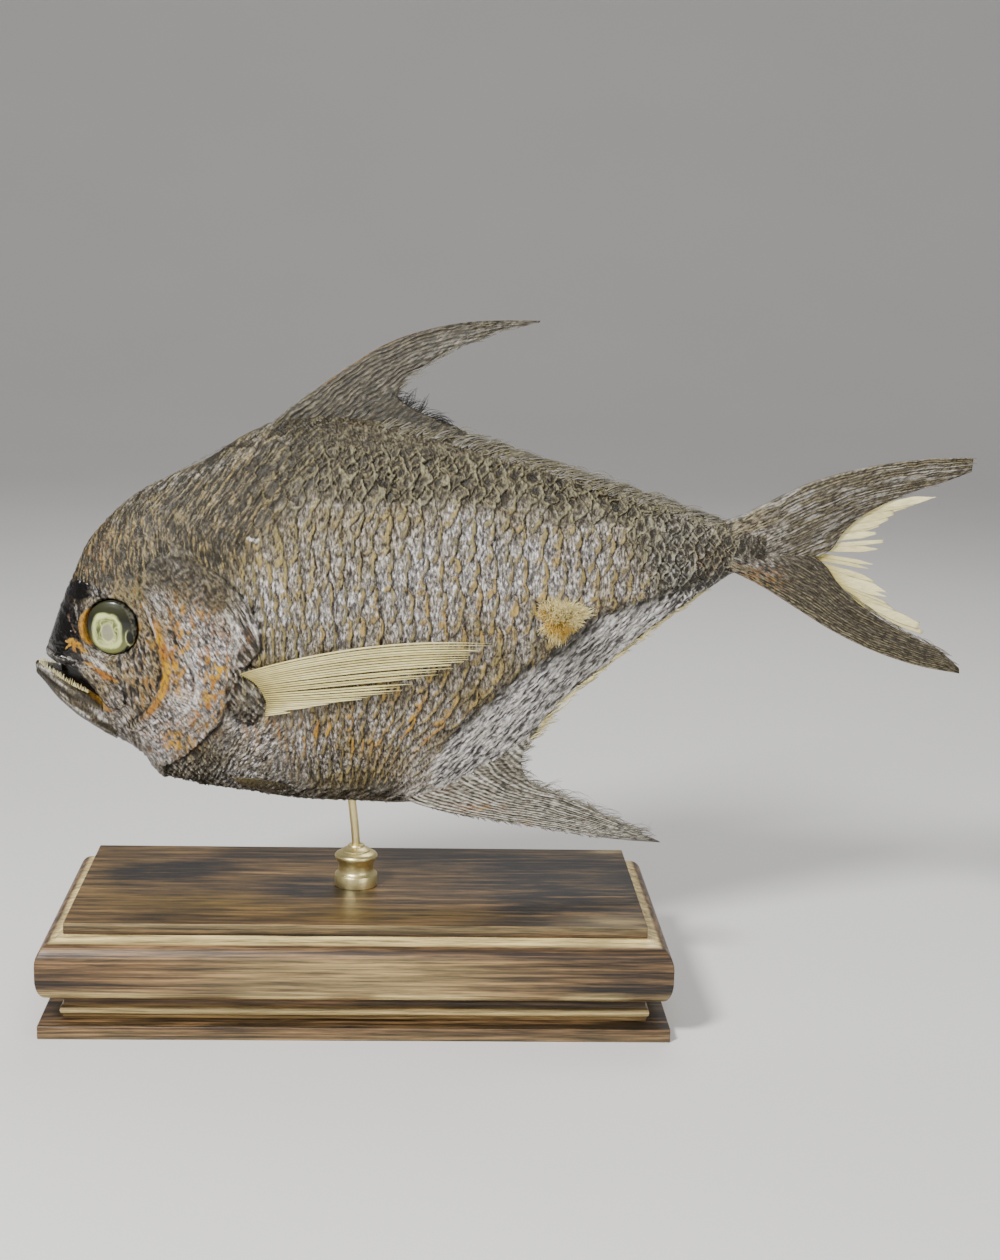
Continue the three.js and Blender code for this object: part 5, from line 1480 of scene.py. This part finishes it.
class POMFRET_OT_fringes(bpy.types.Operator):
    """Builds the frayed hairs along the back, the belly and the rear edges of the fins"""

    bl_idname = "pomfret.fringes"
    bl_label = "Frayed edges"

    def execute(self, context):
        skin = context.scene.pomfret_skin
        grey = membrane_material("frayed_ray_horn", skin.edge_olive, skin.cell_grey, skin.cell_dark, 0.5)
        cream = membrane_material("bleached_ray_horn", skin.horn_body, skin.horn, skin.horn_shade, 0.5)
        dark = membrane_material("blackened_ray_horn", skin.black, skin.cell_dark, skin.black, 0.5)
        comb = partial(fray, np.random.default_rng(context.scene.pomfret_studio.seed + 1))
        comb("back_fringe", grey, (
            (14, 385), (50, 378.5), (90, 368), (130, 355.4), (170, 343.2), (205, 332), (228, 324.5)),
            120, 14, (6, -6, -9, -12), (11, 13, 12, 10), 0.4, depth=8, inward=3, glow=(0.05, 0.85))
        comb("back_fin_fringe", grey, (
            (24, 404), (26, 411), (38, 420), (53.8, 430), (68.5, 436), (87.5, 444), (106, 448.3)),
            34, 7, (30, 26, 16, 8), (12, 13, 10, 6), 0.34, depth=2, inward=5)
        comb("back_fin_front", grey, ((-76, 371), (-66, 376), (-54, 385), (-32.3, 402), (-10, 418)),
             40, 4, (50, 48, 42), (4, 4, 2.5), 0.32, wild=12)
        comb("nape_fringe", grey, ((-190, 275), (-168, 314), (-150, 331), (-124, 346), (-90, 365)),
             60, 4, (60, 45, 35), (1.8, 2, 2.4), 0.3, wild=14, inward=1)
        comb("belly_fin_fringe", grey, (
            (110, 174), (107.5, 162), (107, 152), (114, 143.4), (135, 134.4), (156, 125), (174, 116),
            (192, 108.6)),
            44, 8, (20, 2, -14, -10, -8), (9, 12, 15, 12, 8), 0.36, depth=2, inward=6, curl=0.18, wild=12)
        comb("belly_fin_front", grey, ((24, 135), (53, 123.6), (103, 115), (160, 105.8)),
             40, 4, (-35, -25, -15), (3, 4, 3), 0.3, wild=12)
        comb("belly_fringe", cream, (
            (106, 164), (120, 182), (130, 195.5), (160, 222.5), (190, 248.5), (224, 274.5)),
            44, 4, (14, 24, 29, 27), (9, 12, 12, 8), 0.62, inward=5, glow=(0.3, 1), wild=8)
        comb("throat_fringe", grey, ((-128, 148), (-100, 141.6), (-60, 135), (0, 130.4), (20, 129.4)),
             70, 4, (-40, -30, -25), (2, 2.4, 2), 0.32, wild=14, inward=1)
        comb("tail_fringe_upper", grey, ((300, 315), (330, 331), (361, 345), (380, 351), (396, 357)),
             16, 6, (26, 20, 10, 2), (9, 12, 12, 5), 0.36, inward=6, wild=5)
        comb("tail_fringe_lower", grey, ((300, 290), (330, 268), (360, 248.5), (383, 238.5), (396, 227)),
             16, 6, (-30, -34, -26, -20), (8, 11, 12, 5), 0.36, inward=6, wild=5)
        comb("tail_tip_hairs", grey, ((399, 366), (398.4, 361)),
             2, 5, (-8, -8), (2.5, 2.5), 0.3, inward=6, wild=2)
        comb("back_fin_notch_hairs", dark, ((22, 399), (34, 390), (50, 382.5), (62, 377)),
             20, 7, (40, 22, 6, -4), (11, 12, 10, 7), 0.34, wild=22, curl=0.2, inward=4)
        hairs("belly_fin_long_hairs", ((150, 0, 118), (168, 0, 111), (176, 0, 108), (140, 0, 128)),
              ((166, 1, 121), (190, -1, 118), (196, 0, 118), (158, 1, 128)),
              ((0, 0, -3), (0, 0, -4), (0, 0, -4), (0, 0, -2)), (0.35,) * 4, grey, [(0.7, 0.1, 0.7)] * 4,
              steps=12)
        return {"FINISHED"}


class POMFRET_OT_tuft(bpy.types.Operator):
    """Builds the tuft of dried fibre that stands out of the left flank"""

    bl_idname = "pomfret.tuft"
    bl_label = "Fibre tuft"

    def execute(self, context):
        skin = context.scene.pomfret_skin
        rng = np.random.default_rng(context.scene.pomfret_studio.seed + 2)
        count = skin.tuft_fibres
        angle = rng.uniform(0, 2 * math.pi, count)
        reach = np.sqrt(rng.uniform(0, 1, count))
        lobe = 0.82 + 0.22 * np.sin(3 * angle + 0.6) + 0.12 * np.sin(7 * angle)
        x = TUFT_CENTRE[0] + TUFT_RADII[0] * lobe * reach * np.cos(angle)
        z = TUFT_CENTRE[1] + TUFT_RADII[1] * lobe * reach * np.sin(angle)
        lump = noise(x / 4.5, z / 4.5, 95)
        height = 9.5 * (1 - 0.7 * reach) * (0.55 + 0.75 * lump) * rng.uniform(0.75, 1.1, count)
        splay = 5.5 * reach * rng.uniform(0.4, 1.3, count)
        start = np.stack([x, 1 - half_thickness(x, z), z], -1)
        swirl = 2.4 * (noise(x / 3.5, z / 3.5, 96) - 0.5)
        tips = start + np.stack([splay * np.cos(angle) + swirl + rng.normal(0, 0.7, count), -height - 0.6,
                                 splay * np.sin(angle) - swirl + rng.normal(0, 0.7, count)], -1)
        curls = rng.normal(0, 0.8, (count, 3))
        amber = membrane_material("dried_amber_fibre", skin.bronze_fibre, skin.yellow, skin.straw_fibre, 0.5)
        straw = membrane_material("dried_straw_fibre", skin.straw_fibre, skin.horn, skin.bronze_fibre, 0.55)
        glow = blobs(x, z, ((131, 255, 10, 7, 1.0), (116, 262, 9, 9, 0.55))) + rng.normal(0, 0.14, count)
        is_amber = glow - blob(x, z, (138, 264, 9, 8, 0.9)) > 0.55
        for name, chosen, material in (("tuft_amber", is_amber, amber), ("tuft_straw", ~is_amber, straw)):
            amount = int(chosen.sum())
            tint = random_tint(rng, amount, (0.2, 1), (0, 0.35), (0.2, 1))
            radius = rng.uniform(0.3, 0.62, amount)
            hairs(name, start[chosen], tips[chosen], curls[chosen], radius, material, tint)
        return {"FINISHED"}


def start_clean():
    """Leaves nothing selected, so that the next operator works on its own new piece."""
    if bpy.context.object and bpy.context.object.mode != "OBJECT":
        bpy.ops.object.mode_set(mode="OBJECT")
    bpy.ops.object.select_all(action="DESELECT")


def close_up():
    """Turns the faces of the piece in edit mode outward, and leaves edit mode."""
    bpy.ops.mesh.select_all(action="SELECT")
    bpy.ops.mesh.normals_make_consistent(inside=False)
    bpy.ops.object.mode_set(mode="OBJECT")
    bpy.ops.object.transform_apply(location=True, rotation=True, scale=True)


def edit_chosen_edges(piece, is_chosen):
    """Opens edit mode with only those edges selected whose two ends pass a test."""
    bpy.ops.object.mode_set(mode="EDIT")
    bpy.ops.mesh.select_mode(type="EDGE")
    bpy.ops.mesh.select_all(action="DESELECT")
    bpy.ops.object.mode_set(mode="OBJECT")
    for edge in piece.data.edges:
        edge.select = is_chosen(*(piece.data.vertices[v].co for v in edge.vertices))
    bpy.ops.object.mode_set(mode="EDIT")


def round_edges(piece, name, width, segments, degrees=30):
    """Rounds the edges of a piece that are sharper than an angle."""
    bevel = piece.modifiers.new(name, "BEVEL")
    bevel.width = width
    bevel.segments = segments
    bevel.limit_method = "ANGLE"
    bevel.angle_limit = math.radians(degrees)
    bpy.ops.object.modifier_apply(modifier=name)


def stacked(name, profile):
    """Draws the selected flat face up through profile steps of (width factor, depth factor, height)."""
    piece = bpy.context.object
    piece.name = piece.data.name = name
    bpy.ops.object.mode_set(mode="EDIT")
    bpy.ops.mesh.select_all(action="SELECT")
    for (width, depth, height), (new_width, new_depth, new_height) in zip(profile, profile[1:]):
        bpy.ops.mesh.extrude_region_move(
            TRANSFORM_OT_translate={"value": (0, 0, (new_height - height) * MM)})
        bpy.ops.transform.resize(value=(new_width / width, new_depth / depth, 1))
    close_up()
    return piece


class POMFRET_OT_boards(bpy.types.Operator):
    """Builds the four tiers of the moulded pine base"""

    bl_idname = "pomfret.boards"
    bl_label = "Pine base"

    def execute(self, context):
        stand = context.scene.pomfret_stand
        material = pine_material(stand)
        bull = [(10, 26)]
        bull += [(10 + 6 * math.sin(a), 40 - 14 * math.cos(a)) for a in np.linspace(0.2, math.pi / 2, 7)]
        bull += [(5 + 11 * math.cos(a), 48 + 13.5 * math.sin(a)) for a in np.linspace(0, math.pi / 2, 9)]
        bull += [(0, 64)]
        tiers = (
            ("base_foot", [(15, 0), (15, 8.8)]),
            ("base_fillet", [(1, 8.8), (1, 11.6), (2.2, 12.4), (2.6, 14.5), (2.2, 16.6), (0.6, 17.6),
                             (0, 20), (1, 23.5), (4, 26)]),
            ("base_bullnose", bull),
            ("base_panel", [(0, 64), (0, PANEL_TOP)]))
        length, depth = stand.panel_length / MM, stand.panel_depth / MM
        for node, outline in tiers:
            start_clean()
            steps = [(length + 2 * reach, depth + 2 * reach, z) for reach, z in outline]
            bpy.ops.mesh.primitive_plane_add(size=1, location=(0, 0, steps[0][2] * MM))
            bpy.ops.transform.resize(value=(steps[0][0] * MM, steps[0][1] * MM, 1))
            bpy.ops.object.transform_apply(location=False, rotation=False, scale=True)
            piece = stacked(node + "_pine", steps)
            round_edges(piece, "soft", stand.edge_softness, 3, 28)
            # Edges over 100 mm are cut into short ones, so that stains can vary along them
            edit_chosen_edges(piece, lambda a, b: (a - b).length > 0.1)
            bpy.ops.mesh.subdivide(number_cuts=55)
            bpy.ops.object.mode_set(mode="OBJECT")
            self.paint(piece.data, node)
            bpy.ops.object.shade_smooth_by_angle(angle=math.radians(35))
            dress(piece, material, node)
        return {"FINISHED"}

    @staticmethod
    def paint(mesh, node):
        """Marks bare edges, scorch marks and oil stains on a board, with painted shade in the fillet's
        hollows and a painted highlight on the bullnose's face.
        """
        places = np.empty(len(mesh.vertices) * 3)
        mesh.vertices.foreach_get("co", places)
        x, y, z = places.reshape(-1, 3).T / MM
        wander = noise(x / 30, y / 30, 91)
        if node == "base_panel":
            on_top = smooth(PANEL_TOP - 1.2, PANEL_TOP - 0.2, z)
            soot_and_shade = on_top * (0.34 + blobs(x, y, (
                (-130, 24, 40, 26, 0.9), (-25, -8, 36, 22, 0.95), (140, -4, 66, 70, 1.15),
                (70, 55, 60, 22, 0.6), (-60, 62, 60, 12, 0.3)))) + (1 - on_top) * smooth(63.8, 65.5, z) * 0.95
            olive = on_top * (0.3 + blobs(x, y, (
                (-105, -44, 60, 18, 0.75), (30, -62, 75, 14, 0.6), (-165, 10, 14, 50, 0.3))))
            sanded_and_lit = on_top * blobs(x, y, ((165, -74, 22, 8, 0.3), (172, 80, 12, 4, 0.4))) \
                + 0.35 * bell((z - PANEL_TOP + 0.6) / 0.25)
        elif node == "base_bullnose":
            face = smooth(57, 52, z)
            # Bare wood on the top ledge and the bottom curl; a painted highlight lightens the middle of the
            # front face, and the face is darker towards both ends
            sanded_and_lit = smooth(60.7, 61.6, z) + 0.7 * smooth(33, 28, z) * smooth(0.2, 0.7, wander + 0.15) \
                + 0.25 * face * bell(x / 90)
            soot_and_shade = 0.3 * smooth(61.5, 60.5, z) * smooth(51, 56, z) + 0.5 * bell((z - 36) / 2.4) \
                + face * (0.42 * smooth(-100, -180, x) + 0.52 * smooth(80, 170, x))
            olive = 0.1 * wander
        elif node == "base_fillet":
            # Bare wood on the bead and under the bullnose; painted shade in the cove under the bullnose and,
            # with the olive tint, in the hollow at the foot of the fillet
            sanded_and_lit = 0.8 * bell((z - 14.3) / 2.4) + 0.8 * smooth(24, 25.6, z)
            soot_and_shade = 0.45 * bell((z - 20.5) / 2.6) + 0.4 * smooth(11.5, 9.5, z)
            olive = 0.4 * smooth(13, 10, z)
        else:
            on_top = smooth(8, 8.7, z)
            sanded_and_lit = 0.1 * smooth(3, 0.5, z)
            soot_and_shade = 0.75 * on_top + (0.3 + 0.3 * smooth(0.45, 0.65, wander)) * (1 - on_top)
            olive = 0.1 * wander
        layer = mesh.attributes.new("mask_1", "FLOAT_COLOR", "POINT")
        masks = np.clip(np.stack([sanded_and_lit, soot_and_shade, olive, np.ones(len(x))], -1), 0, 1)
        layer.data.foreach_set("color", masks.astype(np.float32).ravel())


class POMFRET_OT_brass(bpy.types.Operator):
    """Builds the turned collar and the slightly bent rod"""

    bl_idname = "pomfret.brass"
    bl_label = "Brass rod and collar"

    def execute(self, context):
        stand = context.scene.pomfret_stand
        material = brass_material(stand)
        start_clean()
        profile = (
            (14.0, 0), (14.3, 0.3), (14.3, 7.7), (14.0, 8.1), (12.6, 9.0), (11.9, 10.2), (11.7, 11.6),
            (11.7, 14.2), (12.1, 15.8), (13.0, 17.4), (13.8, 18.6), (14.3, 20.0), (14.2, 20.9),
            (13.6, 21.8), (12.2, 22.6), (9.9, 23.5), (9.6, 23.7), (9.5, 24.5), (9.1, 24.8), (7.2, 25.8),
            (5.8, 26.4), (5.6, 27.4), (5.2, 27.9), (3.6, 28.0), (3.2, 27.6))
        bpy.ops.mesh.primitive_circle_add(vertices=96, radius=profile[0][0] * MM, fill_type="NGON",
                                          location=(ROD_X * MM, 0, PANEL_TOP * MM))
        collar = stacked("collar_turned", [(r, r, PANEL_TOP + z) for r, z in profile])
        bpy.ops.object.shade_smooth_by_angle(angle=math.radians(40))
        dress(collar, material, "collar")

        # Distances from the rod's foot towards the mouth, and heights
        start_clean()
        path = ((0, 72), (0, 80), (0, 95), (0.3, 102), (0.9, 110), (2, 120), (3.2, 130), (4.7, 144),
                (6.2, 158))
        bpy.ops.mesh.primitive_circle_add(vertices=40, radius=stand.rod_radius, fill_type="NGON",
                                          location=(ROD_X * MM, 0, path[0][1] * MM))
        rod = bpy.context.object
        rod.name = rod.data.name = "rod_bent"
        bpy.ops.object.mode_set(mode="EDIT")
        for (x0, z0), (x1, z1) in zip(path, path[1:]):
            bpy.ops.mesh.extrude_region_move(
                TRANSFORM_OT_translate={"value": ((x0 - x1) * MM, 0, (z1 - z0) * MM)})
        close_up()
        bpy.ops.object.shade_smooth_by_angle(angle=math.radians(40))
        dress(rod, material, "rod")
        return {"FINISHED"}


class POMFRET_OT_studio(bpy.types.Operator):
    """Builds the pale floor, the soft lights and the camera"""

    bl_idname = "pomfret.studio"
    bl_label = "Studio"

    def execute(self, context):
        studio = context.scene.pomfret_studio
        self.floor(studio)
        world = bpy.data.worlds.new("studio_air")
        world.use_nodes = True
        connect(world.node_tree.nodes["Background"], {"Color": srgb("#e8e8ea"), "Strength": 0.36})
        context.scene.world = world
        lights = (
            ("key_light", (-0.75, -1.2, 1.4), 0.4, studio.key_power),
            ("fill_light", (1.3, -1.5, 0.9), 1.1, studio.fill_power),
            ("rim_light", (0.3, 1.1, 1.7), 1.2, studio.rim_power))
        for name, place, size, power in lights:
            lamp = bpy.data.lights.new(name, "AREA")
            lamp.shape = "DISK"
            lamp.size = size
            lamp.energy = power
            holder = bpy.data.objects.new(name, lamp)
            holder.location = place
            aim = Vector(LIGHT_AIM) - Vector(place)
            holder.rotation_euler = aim.to_track_quat("-Z", "Y").to_euler()
            context.scene.collection.objects.link(holder)
        self.camera(context.scene)
        return {"FINISHED"}

    @staticmethod
    def floor(studio):
        """A pale floor that curves up into a backdrop."""
        start_clean()
        bpy.ops.mesh.primitive_plane_add(size=8, location=(0, 1.2, 0))
        floor = bpy.context.object
        floor.name = floor.data.name = "floor"
        bpy.ops.object.transform_apply(location=True, rotation=False, scale=True)
        edit_chosen_edges(floor, lambda a, b: min(a.y, b.y) > 5)
        bpy.ops.mesh.extrude_region_move(TRANSFORM_OT_translate={"value": (0, 0, 5)})
        close_up()
        round_edges(floor, "sweep", 2.5, 24)
        bpy.ops.object.shade_smooth()
        # Matt paper with no gleam: an even pale tone, with faint patches about 300 mm wide
        material, add, shader, place = new_material("matt_backdrop_paper")
        mottle = add("TexNoise", {"Vector": place, "Scale": 3})
        shade = add("MapRange", (mottle, 0, 1, 0.97, 1.03))
        tone = add("MixRGB", (1, studio.floor, shade), blend_type="MULTIPLY")
        connect(shader, {"Base Color": tone, "Roughness": 0.9})
        floor.data.materials.append(material)

    @staticmethod
    def camera(scene):
        """The camera, turned to its yaw, its angle down and its roll."""
        yaw, down, roll = (math.radians(v) for v in (CAMERA_YAW, CAMERA_DOWN, CAMERA_ROLL))
        ahead = Vector((math.sin(yaw) * math.cos(down), math.cos(yaw) * math.cos(down), -math.sin(down)))
        right = Vector((math.cos(yaw), -math.sin(yaw), 0))
        up = right.cross(ahead)
        turned_right = math.cos(roll) * right + math.sin(roll) * up
        turned_up = -math.sin(roll) * right + math.cos(roll) * up
        lens = bpy.data.cameras.new("camera")
        lens.lens = CAMERA_LENS
        lens.sensor_fit = "VERTICAL"
        lens.sensor_height = 36
        camera = bpy.data.objects.new("camera", lens)
        pose = Matrix((turned_right, turned_up, -ahead)).transposed().to_4x4()
        pose.translation = CAMERA_PLACE
        camera.matrix_world = pose
        scene.collection.objects.link(camera)
        scene.camera = camera


class POMFRET_PT_panel(bpy.types.Panel):
    """Sizes, colours and build steps of the mounted pomfret"""

    bl_idname = "POMFRET_PT_panel"
    bl_label = "Mounted pomfret"
    bl_space_type = "VIEW_3D"
    bl_region_type = "UI"
    bl_category = "Pomfret"

    def draw(self, context):
        for group in ("pomfret_skin", "pomfret_eye", "pomfret_stand", "pomfret_studio"):
            box = self.layout.box()
            settings = getattr(context.scene, group)
            for key in settings.__annotations__:
                box.prop(settings, key)
        for operator in BUILD_STEPS:
            self.layout.operator(operator.bl_idname)


SETTINGS = (
    ("pomfret_skin", SkinSettings), ("pomfret_eye", EyeSettings), ("pomfret_stand", StandSettings),
    ("pomfret_studio", StudioSettings))
BUILD_STEPS = (
    POMFRET_OT_skin, POMFRET_OT_eyes, POMFRET_OT_jaw, POMFRET_OT_median_fins, POMFRET_OT_cream_fins,
    POMFRET_OT_fringes, POMFRET_OT_tuft, POMFRET_OT_boards, POMFRET_OT_brass, POMFRET_OT_studio)


def register():
    for name, group in SETTINGS:
        bpy.utils.register_class(group)
        setattr(bpy.types.Scene, name, PointerProperty(type=group))
    for step in BUILD_STEPS:
        bpy.utils.register_class(step)
    bpy.utils.register_class(POMFRET_PT_panel)


def unregister():
    bpy.utils.unregister_class(POMFRET_PT_panel)
    for step in reversed(BUILD_STEPS):
        bpy.utils.unregister_class(step)
    for name, group in reversed(SETTINGS):
        delattr(bpy.types.Scene, name)
        bpy.utils.unregister_class(group)


def main():
    register()
    for step in BUILD_STEPS:
        getattr(bpy.ops.pomfret, step.bl_idname.removeprefix("pomfret."))()


if __name__ == "__main__":
    main()
